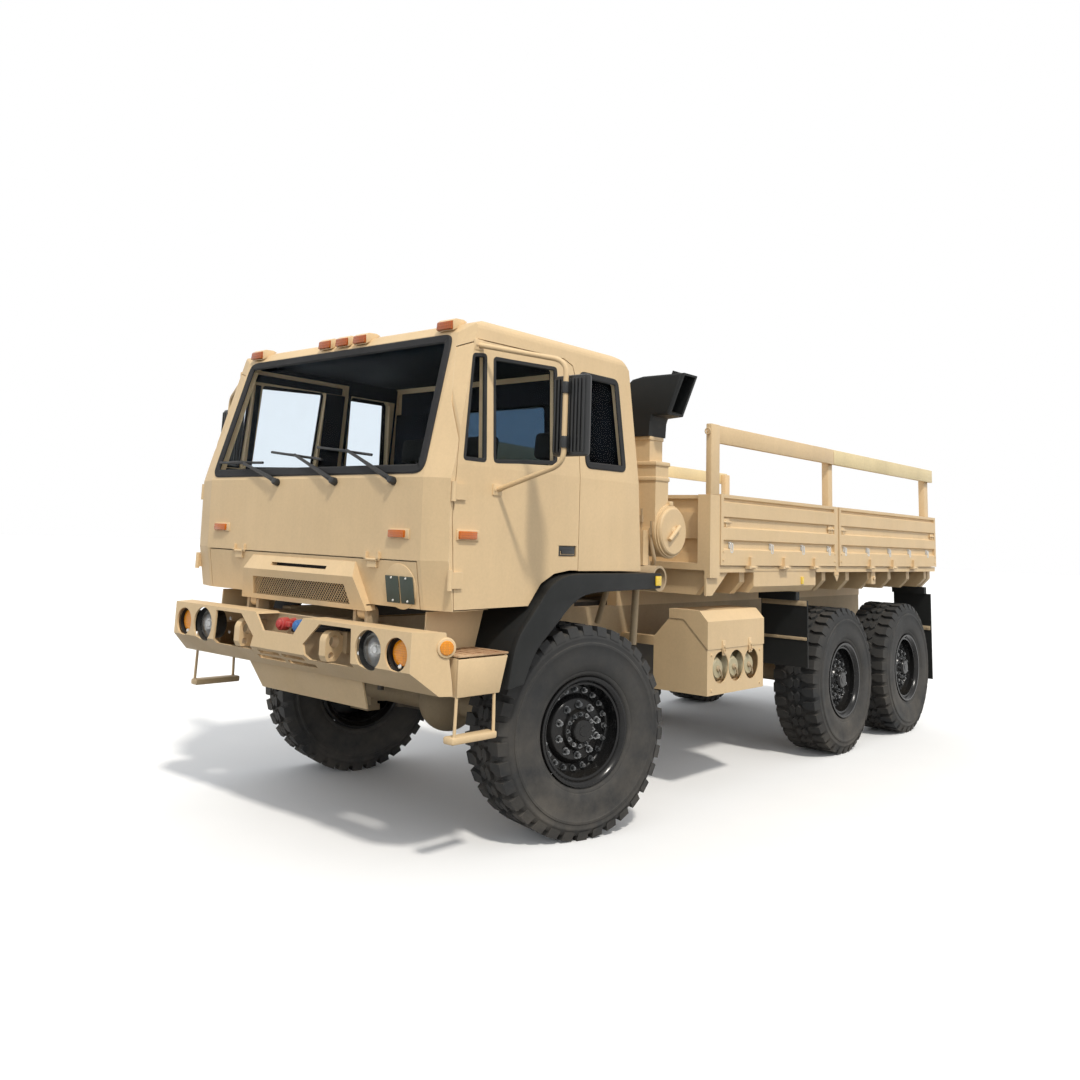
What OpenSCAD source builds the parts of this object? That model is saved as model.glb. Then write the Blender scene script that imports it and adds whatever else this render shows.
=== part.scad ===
// Military cargo truck: tilting forward cab, three driven axles and a drop-sided bed with racks.
// Millimetres. +X is forward, +Y the truck's left, Z = 0 the ground, origin under the middle.

/* [Layout] */
// Front axle to the bumper face
front_overhang = 1350; // [1330:10:1420]
// Front axle to middle axle
wheelbase = 3400; // [3350:10:3500]
// Middle axle to rear axle
tandem = 1400; // [1360:10:1440]
// Rear axle to the tailgate's hinges
rear_overhang = 880; // [860:10:980]
// Distance between the wheel centre planes of one axle
track = 2050; // [2030:5:2080]

/* [Wheels] */
// Outer diameter of a tyre over its lugs
tyre_d = 1160; // [1120:5:1190]
// Section width of a tyre
tyre_w = 395; // [380:5:405]
// Diameter of the bead seat
bead_d = 504; // [496:2:512]
// Diameter over the rim flanges
flange_d = 598; // [580:2:610]
// Width between the outer faces of the rim flanges
rim_w = 360; // [350:2:364]
// Steering angle in which the front wheels stand
steer_rest = -15; // [-20:1:20]
// Distance of a kingpin from its wheel's centre plane
kingpin_in = 165; // [160:1:172]
// Length of the steering arms
steer_arm = 265; // [255:5:275]
// How far the steering arms point inward at the tie rod
steer_in = 90; // [85:1:95]
// Radius of the wheel spindles
spindle_r = 60; // [55:1:62]

/* [Frame] */
// Height of a frame rail
rail_h = 265; // [240:5:270]
// Flange width of a frame rail
rail_w = 85; // [75:1:95]
// Plate thickness of a frame rail
rail_t = 12; // [8:1:14]
// Width over both frame rails
rail_span = 860; // [840:5:880]
// Height of the rails' top above the ground
rail_top = 1180; // [1170:1:1190]
// Radius of an axle tube
axle_r = 75; // [65:1:80]
// Radius of a differential housing
diff_r = 185; // [170:1:190]

/* [Bumper] */
// Width of the bumper over its ends
bumper_w = 2366; // [2340:2:2380]
// Width of the bumper's flat front face
bumper_face_w = 2170; // [2150:2:2200]
// Height of the bumper's top edge
bumper_top = 1170; // [1160:1:1174]
// Height of the lower edge of the front face
bumper_low = 978; // [965:1:985]
// Plate thickness of the bumper
bumper_t = 12; // [8:1:14]
// Radius of a headlamp opening
headlamp_r = 100; // [92:1:104]
// Radius of a turn lamp opening
turn_lamp_r = 82; // [76:1:86]
// Bore radius of a tow eye
tow_bore_r = 32; // [28:1:36]

/* [Cab] */
// Width of the cab below its belt line
cab_w = 2292; // [2270:2:2310]
// Width of the cab at the roof edge
cab_roof_w = 2176; // [2150:2:2200]
// Height of the belt line where the sides start to lean in
belt_z = 2000; // [1985:1:2010]
// Height of the roof
roof_z = 2800; // [2790:1:2815]
// Wall thickness of the cab and its doors
cab_wall = 50; // [44:1:54]
// Gap round the doors and the front panel
panel_gap = 6; // [5:0.5:8]
// Thickness of the window glass
glass_t = 8; // [6:1:10]

/* [Bed] */
// Width over the drop sides
bed_w = 2430; // [2420:2:2440]
// Height of the bed floor
floor_z = 1520; // [1515:1:1530]
// Height of the drop sides' top edge
side_top = 1990; // [1960:1:2010]
// Thickness of a drop side
side_t = 44; // [40:1:48]
// Height of the rack rails' top edge
rack_top = 2468; // [2440:1:2480]
// Height of a rack rail
rack_h = 124; // [110:1:130]

/* [Hidden] */
$fn = 48;
fit = 0.3;
overall_l = front_overhang + wheelbase + tandem + rear_overhang;
nose_x = overall_l / 2;
tail_x = -overall_l / 2;
axle1_x = nose_x - front_overhang;
axle2_x = axle1_x - wheelbase;
axle3_x = axle2_x - tandem;
hub_z = tyre_d / 2;
kingpin_y = track / 2 - kingpin_in;
rail_low = rail_top - rail_h;
rail_out = rail_span / 2;
rail_in = rail_out - rail_w;
rail_web = rail_out - rail_t;
cab_y = cab_w / 2;
bed_y = bed_w / 2;

// Positions along the truck, measured from the front axle
function fx(x) = axle1_x + x;
function fx_points(points) = [for (p = points) [fx(p[0]), p[1]]];

// Points of an outline moved inward by d, for outlines that run counter-clockwise
function line_shift(a, b, d) = let (u = (b - a) / norm(b - a)) [a + d * [-u[1], u[0]], u];
function line_meet(l, m) = let (k = l[1][0] * m[1][1] - l[1][1] * m[1][0], w = m[0] - l[0])
    l[0] + l[1] * ((w[0] * m[1][1] - w[1] * m[1][0]) / k);
function inset(p, d) = [for (i = [0 : len(p) - 1])
    let (n = len(p), a = p[(i + n - 1) % n], b = p[i], c = p[(i + 1) % n])
    line_meet(line_shift(a, b, d), line_shift(b, c, d))];
function arc(c, r, a0, a1, n) = [for (i = [0 : n]) let (a = a0 + (a1 - a0) * i / n)
    c + r * [cos(a), sin(a)]];

// Outline in X and Z made solid between two Y values
module side_prism(points, y0, y1)
    translate([0, y1, 0]) rotate([90, 0, 0]) linear_extrude(y1 - y0) polygon(points);
// Outline in Y and Z made solid between two X values
module cross_prism(points, x0, x1)
    translate([x0, 0, 0]) rotate([90, 0, 90]) linear_extrude(x1 - x0) polygon(points);
module box(x0, x1, y0, y1, z0, z1) translate([x0, y0, z0]) cube([x1 - x0, y1 - y0, z1 - z0]);
module both_sides() {
    children();
    mirror([0, 1, 0]) children();
}
// Cylinder along Y between two Y values
module bar_y(x, z, r, y0, y1) translate([x, y1, z]) rotate([90, 0, 0]) cylinder(h = y1 - y0, r = r);
// Cylinder along X between two X values
module bar_x(y, z, r, x0, x1) translate([x0, y, z]) rotate([0, 90, 0]) cylinder(h = x1 - x0, r = r);
// Round bar between two points
module rod(a, b, r) {
    d = b - a;
    translate(a) rotate([0, acos(d[2] / norm(d)), atan2(d[1], d[0])]) cylinder(h = norm(d), r = r);
}

// Frame, engine and running gear
spring_w = 90;
spring_y = rail_out - rail_w / 2;
spring_base = hub_z + axle_r + fit;
leaf_t = 22;
front_leaves = 5;
front_eye = 640;
front_seat = 100;
front_rise = (rail_low - 15 - spring_base - front_leaves * leaf_t) / (front_eye - front_seat);
bogie_leaves = 7;
bogie_x = (axle2_x + axle3_x) / 2;
bogie_end = tandem / 2 + 90;
bogie_seat = 180;
bogie_lift = 46;
bogie_rise = bogie_lift / (bogie_end - bogie_seat);
rail_front = fx(1020);
rail_back = tail_x + 140;
tow_plate_x = rail_back - 45;
tow_ring_x = rail_back - 84;
cab_tube_x = fx(-699);
cab_tube_z = 1416;
cab_tube_r = 80;
cab_tube_y = 1150;
pivot_x = fx(1150);
pivot_z = 1215;
pivot_y = 500;
lug_w = 60;
bumper_back = fx(1150);
cross_front = fx(1190);
horn_front = fx(1234);
crossmember_x = [fx(-1500), fx(-2300), bogie_x, rail_back + 240];
liner_z = 1452;
liner_t = 20;
stay_x = fx(-530);
step_arm_x = fx(940);
step_in = 930;

module rail() difference() {
    box(rail_back, rail_front, rail_in, rail_out, rail_low, rail_top);
    box(rail_back - 1, rail_front + 1, rail_in - 1, rail_out - rail_t, rail_low + rail_t,
        rail_top - rail_t);
}
// Front crossmember with the cab's pivot ears and the horns that carry the tow hooks
ear_r = 38;
ear_plate = 24;
ear_gap = 6;
module pivot_ear() {
    bar_y(pivot_x, pivot_z, ear_r, -ear_plate / 2, ear_plate / 2);
    box(pivot_x - ear_r, pivot_x + ear_r, -ear_plate / 2, ear_plate / 2, bumper_top - bumper_t - 1,
        pivot_z);
}
module front_frame() {
    box(rail_front, cross_front, -pivot_y - 70, pivot_y + 70, 1000, bumper_top - bumper_t);
    box(bumper_back, cross_front, -pivot_y - 70, pivot_y + 70, lip_z + bumper_t, 1001);
    both_sides() {
        for (s = [-1, 1])
            translate([0, pivot_y + s * (lug_w / 2 + ear_gap + ear_plate / 2), 0]) pivot_ear();
        bar_y(pivot_x, pivot_z, 20, pivot_y - lug_w / 2 - ear_gap - ear_plate,
            pivot_y + lug_w / 2 + ear_gap + ear_plate);
        box(cross_front, horn_front, tow_y - 60, tow_y + 60, 1000, 1110);
    }
}
// Tube behind the cab on its posts, and the stays of the wheel-arch flares
module cab_rest() {
    difference() {
        bar_y(cab_tube_x, cab_tube_z, cab_tube_r, -cab_tube_y, cab_tube_y);
        both_sides() bar_y(cab_tube_x, cab_tube_z, cab_tube_r - 14, 900, cab_tube_y + 1);
    }
    both_sides() {
        box(cab_tube_x - 45, cab_tube_x + 45, rail_in, rail_out, rail_top, cab_tube_z);
        box(stay_x - 30, stay_x + 30, rail_in, rail_out, rail_top, liner_z - liner_t);
        box(stay_x - 30, stay_x + 30, rail_out - 1, 1000, liner_z - liner_t - 40, liner_z - liner_t);
    }
}
module cab_mounts() color("#b9a582") {
    front_frame();
    cab_rest();
}
module frame_rails() color("#b9a582") {
    both_sides() {
        rail();
        for (x = [-front_eye, front_eye])
            box(fx(x) - 40, fx(x) + 40, rail_in, rail_out, rail_low - 15, rail_low);
        box(bogie_x - 140, bogie_x + 140, rail_in, rail_out,
            spring_base + bogie_lift + bogie_leaves * leaf_t, rail_low);
    }
}
module crossmembers() color("#b9a582") {
    for (x = crossmember_x) box(x - 50, x + 50, -rail_web, rail_web, rail_low + 40, rail_top - 40);
    box(rail_back - 20, rail_back, -rail_out, rail_out, rail_low, rail_top);
}

module engine_block() color("#5b5a55") {
    box(fx(-600), fx(400), -rail_in + 10, rail_in - 10, hub_z + 205, 1390);
    box(fx(-1400), fx(-599), -240, 240, hub_z + 205, 1200);
    both_sides() box(fx(-250), fx(-130), rail_in - 11, rail_web, rail_low + 60, rail_low + 140);
}

// Outline of a pack: each leaf flat over the seat, then rising or falling to its own end
function pack_outline(leaves, ends, seat, base, rise) = let (
    steps = [for (i = [0 : leaves - 1], up = [0, 1])
             [ends[i], base + (i + up) * leaf_t + rise * (ends[i] - seat)]],
    half = concat([[seat, base]], steps, [[seat, base + leaves * leaf_t]]))
    concat(half, [for (k = [len(half) - 1 : -1 : 0]) [-half[k].x, half[k].y]]);
module leaf_pack(x, leaves, end, seat, base, rise, longest_up) {
    step = (end - seat) / leaves;
    ends = [for (i = [0 : leaves - 1]) end - step * (longest_up ? leaves - 1 - i : i)];
    translate([x, 0, 0]) side_prism(pack_outline(leaves, ends, seat, base, rise),
                                    spring_y - spring_w / 2, spring_y + spring_w / 2);
}
module leaf_springs() color("#3a3a38") both_sides() {
    leaf_pack(axle1_x, front_leaves, front_eye, front_seat, spring_base, front_rise, true);
    leaf_pack(bogie_x, bogie_leaves, bogie_end, bogie_seat, spring_base + bogie_lift, -bogie_rise, false);
}

// Differential housing round an axle tube
module diff_housing(x, front_snout) {
    translate([x, 0, hub_z]) sphere(r = diff_r);
    bar_x(0, hub_z, 80, x - diff_r - 25, x + front_snout);
}
ear_x = 55;
knuckle_h = 230;
ear_t = 38;
pin_r = 25;
module front_axle() color("#8d8068") {
    difference() {
        union() {
            bar_y(axle1_x, hub_z, axle_r, -kingpin_y + 130, kingpin_y - 130);
            diff_housing(axle1_x, 0);
            both_sides() {
                box(axle1_x - 30, axle1_x + 30, kingpin_y - 140, kingpin_y - 98,
                    hub_z - knuckle_h / 2 - 5 - ear_t, hub_z + knuckle_h / 2 + 5 + ear_t);
                for (z = [hub_z - knuckle_h / 2 - 5 - ear_t, hub_z + knuckle_h / 2 + 5])
                    box(axle1_x - ear_x, axle1_x + ear_x, kingpin_y - 140, kingpin_y + 45, z, z + ear_t);
                box(axle1_x - 100, axle1_x + 100, spring_y - 50, spring_y + 50, hub_z + axle_r - 20,
                    hub_z + axle_r);
            }
        }
        both_sides() translate([axle1_x, kingpin_y, 0]) cylinder(h = 2 * hub_z, r = pin_r + 1);
    }
}
module tandem_axles() color("#8d8068") for (x = [axle2_x, axle3_x]) {
    bar_y(x, hub_z, axle_r, -track / 2 + 112, track / 2 - 112);
    bar_y(x, hub_z, spindle_r, -track / 2 - 80, track / 2 + 80);
    diff_housing(x, diff_r + 25);
    both_sides() box(x - 90, x + 90, spring_y - 50, spring_y + 50, hub_z + axle_r - 20, hub_z + axle_r);
}
transfer_x = fx(-1900);
module driveline() color("#6a655a") {
    box(transfer_x - 170, transfer_x + 170, -220, 220, hub_z - 60, rail_low + 31);
    bar_x(0, hub_z, 45, transfer_x, axle1_x - diff_r - 25 - fit);
    bar_x(0, hub_z, 45, axle2_x + diff_r + 25 + fit, transfer_x);
    bar_x(0, hub_z, 45, axle3_x + diff_r + 25 + fit, axle2_x - diff_r - 25 - fit);
    box(transfer_x - 150, transfer_x + 150, -rail_web, rail_web, rail_low + 30, rail_low + 60);
}

// Front bumper with lamps and tow eyes
lip_x = fx(1215);
lip_z = 868;
lamp_z = 1056;
headlamp_y = 767;
turn_lamp_y = 979;
tow_y = 400;
skid_z = 705;
bumper_profile = [[bumper_back, lip_z], [lip_x, lip_z], [nose_x, bumper_low], [nose_x, bumper_top],
                  [cross_front + 6, bumper_top]];
bumper_plan = [[bumper_back, -bumper_w / 2], [fx(1160), -bumper_w / 2], [nose_x, -bumper_face_w / 2],
               [nose_x, bumper_face_w / 2], [fx(1160), bumper_w / 2], [bumper_back, bumper_w / 2]];
hook_hole = [[232, 1035], [262, 955], [640, 955], [628, 1150], [365, 1150]];
// Slots of the lower face as inner Y, outer Y, low Z, high Z
slots = [[14, 210, 941, 962], [16, 270, 906, 927]];
skid_top_y = 525;
skid_low_y = 480;
notch = [[-140, 1075], [140, 1075], [240, bumper_top + 20], [-240, bumper_top + 20]];

module bumper_body(d) intersection() {
    side_prism(inset(bumper_profile, d), -bumper_w, bumper_w);
    translate([0, 0, lip_z - 10]) linear_extrude(bumper_top) polygon(inset(bumper_plan, d));
}
module front_bumper() color("#c9b48c") {
    difference() {
        bumper_body(0);
        translate([-bumper_t - 1, 0, 0]) bumper_body(bumper_t);
        bumper_body(bumper_t);
        both_sides() {
            bar_x(headlamp_y, lamp_z, headlamp_r, fx(1250), nose_x + 1);
            bar_x(turn_lamp_y, lamp_z, turn_lamp_r, fx(1250), nose_x + 1);
            cross_prism(hook_hole, fx(1255), nose_x + 1);
        }
        cross_prism(notch, fx(1195), nose_x + 1);
        both_sides() for (s = slots) box(fx(1240), nose_x, s[0], s[1], s[2], s[3]);
    }
    skid_plate();
}
module skid_plate() intersection() {
    side_prism(fx_points([[1160, lip_z + 6], [1075, skid_z], [1087, skid_z], [1172, lip_z + 6]]),
        -bumper_w, bumper_w);
    cross_prism([[-skid_low_y, skid_z], [skid_low_y, skid_z], [skid_top_y, lip_z + 7],
        [-skid_top_y, lip_z + 7]],
                fx(1000), fx(1300));
}
module bumper_lamps() color("#e8c27a") both_sides() {
    bar_x(headlamp_y, lamp_z, headlamp_r - fit, nose_x - 70, nose_x - 4);
    bar_x(turn_lamp_y, lamp_z, turn_lamp_r - fit, nose_x - 60, nose_x - 3);
}
hook_x = fx(1292);
hook_z = 1062;
hook_r = 56;
hook_t = 52;
hook_foot = 962;
tow_ring_z = rail_low + 90;
tow_ring_t = 44;
// Tow ring on a plate behind the rear crossmember
module tow_ring() {
    box(tow_plate_x, rail_back - 20, -70, 70, rail_low + 20, rail_top - 60);
    difference() {
        union() {
            translate([tow_ring_x, 0, tow_ring_z]) cylinder(h = tow_ring_t, r = 50);
            box(tow_ring_x, tow_plate_x + 1, -40, 40, tow_ring_z, tow_ring_z + tow_ring_t);
        }
        translate([tow_ring_x, 0, tow_ring_z - 1]) cylinder(h = tow_ring_t + 2, r = tow_bore_r);
    }
}
module front_hook() difference() {
    union() {
        bar_y(hook_x, hook_z, hook_r, tow_y - hook_t / 2, tow_y + hook_t / 2);
        side_prism([[horn_front, 1010], [hook_x - 20, hook_foot], [hook_x + 40, hook_foot],
                    [hook_x + hook_r, hook_foot + 30], [hook_x + hook_r, hook_z],
                        [horn_front, hook_z + 30]],
                   tow_y - hook_t / 2, tow_y + hook_t / 2);
    }
    bar_y(hook_x, hook_z, tow_bore_r, tow_y - hook_t, tow_y + hook_t);
    bar_y(hook_x + 16, hook_foot + 30, 18, tow_y - hook_t, tow_y + hook_t);
}
module tow_hooks() color("#c9b48c") {
    both_sides() front_hook();
    tow_ring();
}

// Steps and wheel-arch flares under the cab
step_y = 1190;
step_z0 = 858;
step_z1 = 1058;
tread_z = 650;
apron_top = 1250;
module cab_steps() color("#c9b48c") both_sides() {
    difference() {
        side_prism(fx_points([[820, step_z0], [1126, step_z0], [1126, step_z1], [760, step_z1]]),
            step_in, step_y);
        side_prism(fx_points([[850, step_z0 + 12], [1114, step_z0 + 12], [1114, step_z1 - 12],
            [800, step_z1 - 12]]),
                   step_in + 12, step_y + 1);
    }
    side_prism(fx_points([[760, step_z1 - 12], [1126, step_z1 - 12], [1120, apron_top],
        [700, apron_top]]),
               step_in, step_in + 12);
    box(step_arm_x - 40, step_arm_x + 40, rail_out, step_in + 1, 920, 1000);
    for (x = [840, 1114]) box(fx(x), fx(x + 12), step_y - 60, step_y, tread_z, step_z0);
    box(fx(824), fx(1138), step_y - 100, step_y, tread_z - 30, tread_z + 12);
}
flare_y = 1200;
// Outlines from the front axle: the flare's outer edge follows the cab's arch just below it
flare_outer = [[767, 867], [711, 1114], [560, 1262], [505, 1325], [452, 1382], [345, 1433],
    [214, liner_z]];
flare_inner = [[-640, liner_z], [-640, 1359], [37, 1346], [160, 1328], [274, 1271], [417, 1152],
    [562, 1044],
               [642, 882]];
liner_end = [[-600, liner_z], [-600, liner_z - liner_t]];
liner_inner = [[212, liner_z - liner_t], [338, 1414], [440, 1366], [490, 1310], [546, 1247],
    [692, 1106], [747, 867]];
module fender_flares() color("#2b2b2d") both_sides() {
    side_prism(fx_points(concat(flare_outer, flare_inner)), flare_y - 40, flare_y);
    side_prism(fx_points(concat(flare_outer, liner_end, liner_inner)), 760, flare_y - 39);
}

// Intake, battery box, tanks and lockers beside the frame
cleaner_x = fx(-891);
cleaner_z = 1718;
cleaner_r = 168;
stack_x = fx(-800);
module air_intake() color("#c9b48c") {
    bar_y(cleaner_x, cleaner_z, cleaner_r, 520, 1110);
    bar_y(cleaner_x, cleaner_z, cleaner_r - 24, 1109, 1130);
    box(stack_x - 75, stack_x + 75, 840, 1090, cleaner_z, 2162);
    box(stack_x - 75, stack_x + 75, 840, 1039, 2161, 2336);
    box(cab_tube_x - 30, cab_tube_x + 30, 600, 700, cab_tube_z + cab_tube_r, cleaner_z);
    box(cab_tube_x - 30, cab_tube_x + 30, 940, 1040, cab_tube_z + cab_tube_r, cleaner_z);
}
hood_section = [[830, 2336 + fit], [1049, 2336 + fit], [1190, 2470], [1300, 2737], [900, 2737],
    [830, 2660]];
module intake_hood() color("#2b2b2d") difference() {
    cross_prism(hood_section, stack_x - 100, stack_x + 100);
    cross_prism([[1120, 2455], [1212, 2490], [1302, 2712], [1120, 2712]], stack_x - 88, stack_x + 88);
}
box_x0 = fx(-2004);
box_x1 = fx(-1226);
box_in = 764;
box_y = 1190;
box_z = 648;
box_t = 8;
lid_low = 947;
lid_top = 1198;
lid_seam = 1135;
tank_r = 100;
tank_z = 812;
tank_gap = 214;
tank_x0 = (box_x0 + box_x1) / 2 - tank_gap;
box_section = [[box_in, box_z], [box_y, box_z], [box_y, lid_low], [1006, lid_seam], [890, lid_seam],
    [box_in, 1000]];
lid_section = [[890, lid_seam + fit], [1006, lid_seam + fit], [box_y + 5, lid_low + fit],
    [box_y + 5, 1130],
               [1130, lid_top], [890, lid_top]];
module battery_box() color("#c9b48c") {
    difference() {
        cross_prism(box_section, box_x0, box_x1);
        cross_prism(inset(box_section, box_t), box_x0 + box_t, box_x1 - box_t);
        for (i = [0 : 2]) bar_y(tank_x0 + i * tank_gap, tank_z + 10, tank_r + 5, box_y - 20, box_y + 1);
    }
    difference() {
        box(box_x0 + 60, box_x1 - 60, 860, 1100, box_z + box_t - 1, tank_z - 30);
        for (i = [0 : 2]) bar_y(tank_x0 + i * tank_gap, tank_z, tank_r + fit, 850, 1110);
    }
    for (x = [box_x0 + 120, box_x1 - 120]) box(x - 40, x + 40, rail_out, box_in + 1, 930, 990);
}
module battery_lid() color("#c9b48c") difference() {
    cross_prism(lid_section, box_x0 - 5, box_x1 + 5);
    cross_prism([[898, lid_seam - 1], [1009, lid_seam - 1], [box_y - 4, lid_low - 1], [box_y - 4, 1126],
                 [1126, lid_top - 9], [898, lid_top - 9]], box_x0 + 4, box_x1 - 4);
}
module air_tanks() color("#a8a184") for (i = [0 : 2])
    translate([tank_x0 + i * tank_gap, 0, tank_z]) rotate([-90, 0, 0]) {
        translate([0, 0, 800]) cylinder(h = 320, r = tank_r);
        translate([0, 0, 1119]) cylinder(h = 50, r1 = tank_r, r2 = tank_r * 0.6);
    }
module fuel_tank() color("#c9b48c") mirror([0, 1, 0]) {
    cross_prism([[box_in, box_z + 60], [box_in + 60, box_z], [box_y - 60, box_z], [box_y, box_z + 60],
                 [box_y, lid_top - 60], [box_y - 60, lid_top], [box_in + 60, lid_top],
                     [box_in, lid_top - 60]],
                box_x0, box_x1);
    for (x = [box_x0 + 120, box_x1 - 120]) box(x - 40, x + 40, rail_out, box_in + 1, 930, 990);
}
locker_x0 = fx(-2874);
locker_x1 = fx(-1851);
locker_in = 980;
locker_y = 1195;
locker_z0 = 1310;
locker_z1 = 1466;
module toolbox() color("#c9b48c")
    cross_prism([[locker_in, locker_z0], [locker_y - 40, locker_z0], [locker_y, locker_z0 + 45],
                 [locker_y, locker_z1], [locker_in, locker_z1]], locker_x0, locker_x1);

// Bed
deck_t = 52;
deck_x0 = tail_x + 66;
deck_x1 = fx(-1219);
deck_low = floor_z - deck_t;
floor_lift = 5;
ledge_z = floor_z - floor_lift;
post_in = 70;
cross_z = 1300;
cross_w = 70;
mudflap_t = 12;
mudflap_in = 829;
mudflap_top = 1236;
// Gaps between the mudflaps and the tyres in front of and behind the rear axles
mudflap_gap = [140, 120];
mudflap_x = [axle2_x + tyre_d / 2 + mudflap_gap[0], axle3_x - tyre_d / 2 - mudflap_gap[1]];
// Crossbars: three in front, seven spaced evenly from flap to flap,
// and the one that carries the tail lamps
mudflap_bars = [for (i = [0 : 6]) mudflap_x[0] + 30 + (mudflap_x[1] - mudflap_x[0]) * i / 6];
cross_at = concat([fx(-1300), fx(-1760), fx(-2220)], mudflap_bars, [tail_x + 105]);
board_x0 = fx(-1346);
pillar_foot = 1420;
sill_y = 1200;
sill_z0 = 1456;
side_y0 = bed_y - side_t;
hinge_y = bed_y + 15;
hinge_z = 1492;
hinge_r = 12;
side_z0 = 1504;
front_side = [fx(-3232), fx(-1352)];
rear_side = [tail_x + 66, fx(-3296)];
hinge_at = [-520, 0, 520];
gate_x = tail_x + 14;
gate_pin_x = tail_x + hinge_r;
gate_hinge_y = [-700, 0, 700];
gate_y = side_y0 - 46;
cross_y = side_y0 - 20;
cross_end = cross_z + 85;
cross_section = [[-cross_y, deck_low + 1], [-cross_y, cross_end], [-cross_y + 80, cross_z],
    [cross_y - 80, cross_z],
                 [cross_y, cross_end], [cross_y, deck_low + 1]];
module hinge_ears(span) for (h = hinge_at) for (s = [-1, 1])
    translate([(span[0] + span[1]) / 2 + h + s * 46, 0, 0]) difference() {
        box(-14, 14, sill_y - 1, hinge_y + hinge_r - 2, hinge_z - hinge_r + 2, hinge_z + hinge_r - 2);
        bar_x(hinge_y, hinge_z, 6, -15, 15);
    }
// Ear of a tailgate hinge, round so that the gate's foot passes it
gate_ear_y = 78;
gate_ear_half = 14;
gate_ear_r = hinge_r - 2;
module gate_ear() difference() {
    union() {
        bar_y(gate_pin_x, hinge_z, gate_ear_r, -gate_ear_half, gate_ear_half);
        box(gate_pin_x, deck_x0 + 1, -gate_ear_half, gate_ear_half,
            hinge_z - gate_ear_r, hinge_z + gate_ear_r);
    }
    bar_y(gate_pin_x, hinge_z, 6, -gate_ear_half - 1, gate_ear_half + 1);
}
module bed_deck() color("#c9b48c") difference() {
    union() {
        box(deck_x0, deck_x1, -side_y0 + 6, side_y0 - 6, deck_low, ledge_z);
        box(deck_x0 + 50, board_x0 - 5, -side_y0 + post_in + 10, side_y0 - post_in - 10, ledge_z - 1,
            floor_z);
        both_sides() {
            box(deck_x0, board_x0, side_y0 - 7, sill_y, sill_z0, floor_z - 22);
            hinge_ears(front_side);
            hinge_ears(rear_side);
            box(deck_x0 + 40, deck_x1 - 20, rail_in, rail_out, rail_top, deck_low);
        }
        for (y = gate_hinge_y, s = [-1, 1]) translate([0, y + s * gate_ear_y, 0]) gate_ear();
        for (x = cross_at) cross_prism(cross_section, x - cross_w / 2, x + cross_w / 2);
    }
    box(locker_x0 - fit, locker_x1 + fit, locker_in - fit, locker_y + 90, locker_z0 - 20,
        locker_z1 + fit);
}
board_t = 56;
board_top = side_top - 10;
pocket_d = 24;
// Pockets of the headboard as distances of their low and high edge below its top
pockets = [[120, 25], [400, 300]];
module headboard() color("#c9b48c") {
    difference() {
        box(board_x0, board_x0 + board_t, -side_y0 + 6, side_y0 - 6, ledge_z, board_top);
        both_sides() for (p = pockets)
            box(board_x0 + board_t - pocket_d, board_x0 + board_t + 1, 30, side_y0 - 70,
                board_top - p[0], board_top - p[1]);
    }
    both_sides() {
        box(board_x0, deck_x1, side_y0 - 6, bed_y - 6, pillar_foot, board_top);
        box(board_x0 + board_t - 1, deck_x1, side_y0 - 60, side_y0 - 5, ledge_z, board_top);
        side_prism([[board_x0 - 160, sill_z0 - fit], [board_x0 + 50, cross_z], [deck_x1, cross_z],
                    [deck_x1, pillar_foot + 1], [board_x0, pillar_foot + 1], [board_x0, sill_z0 - fit]],
                   side_y0 - 6, side_y0 + 10);
    }
}
// Rack posts and rails as start and end; the first post stands on the headboard's pillar
rail_joint = [fx(-3253), fx(-3247)];
posts = [[fx(-3290), fx(-3210)], [tail_x + 100, tail_x + 200]];
rails = [[rail_joint[1], deck_x1 - 6], [tail_x + 60, rail_joint[0]]];
module side_racks() color("#c9b48c") both_sides() {
    for (p = posts) box(p[0], p[1], side_y0 - post_in, side_y0 - 10, ledge_z, rack_top - 20);
    box(board_x0 + 6, deck_x1 - 6, side_y0 - 6, bed_y - 6, board_top, rack_top);
    for (r = rails) box(r[0], r[1], side_y0 - 11, side_y0 + 24, rack_top - rack_h, rack_top);
}
// Raised bands of a panel as distances of their high and low edge below its top; the last runs to its foot
bands = [[55, 152], [230, 310]];
lip_h = 23;
foot_band = 380;
groove_d = 20;
flank_h = 10;
stile_w = 36;
// Outline of a ribbed panel as depth behind its outer face, and height
function band_points(b) = [[groove_d, side_top - b[0] + flank_h], [0, side_top - b[0]],
    [0, side_top - b[1]],
                           [groove_d, side_top - b[1] - flank_h]];
panel_section = concat([[side_t, side_top], [0, side_top], [0, side_top - lip_h]],
    [[groove_d, side_top - lip_h - flank_h]],
    band_points(bands[0]), band_points(bands[1]),
    [[groove_d, side_top - foot_band + flank_h], [0, side_top - foot_band], [0, side_z0],
        [side_t, side_z0]]);
module drop_side(span) {
    cross_prism([for (p = panel_section) [bed_y - p[0], p[1]]], span[0], span[1]);
    for (x = [span[0], span[1] - stile_w]) box(x, x + stile_w, side_y0, bed_y, side_z0, side_top);
    for (h = hinge_at) translate([(span[0] + span[1]) / 2 + h, 0, 0]) {
        box(-30, 30, bed_y - 1, hinge_y + 6, side_z0, side_z0 + 60);
        box(-30, 30, hinge_y - 6, hinge_y + 6, hinge_z, side_z0 + 1);
        bar_x(hinge_y, hinge_z, hinge_r, -30, 30);
        bar_x(hinge_y, hinge_z, 5, -60, 60);
    }
}
module dropside_front_left() color("#c9b48c") drop_side(front_side);
module dropside_front_right() color("#c9b48c") mirror([0, 1, 0]) drop_side(front_side);
module dropside_rear_left() color("#c9b48c") drop_side(rear_side);
module dropside_rear_right() color("#c9b48c") mirror([0, 1, 0]) drop_side(rear_side);
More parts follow.
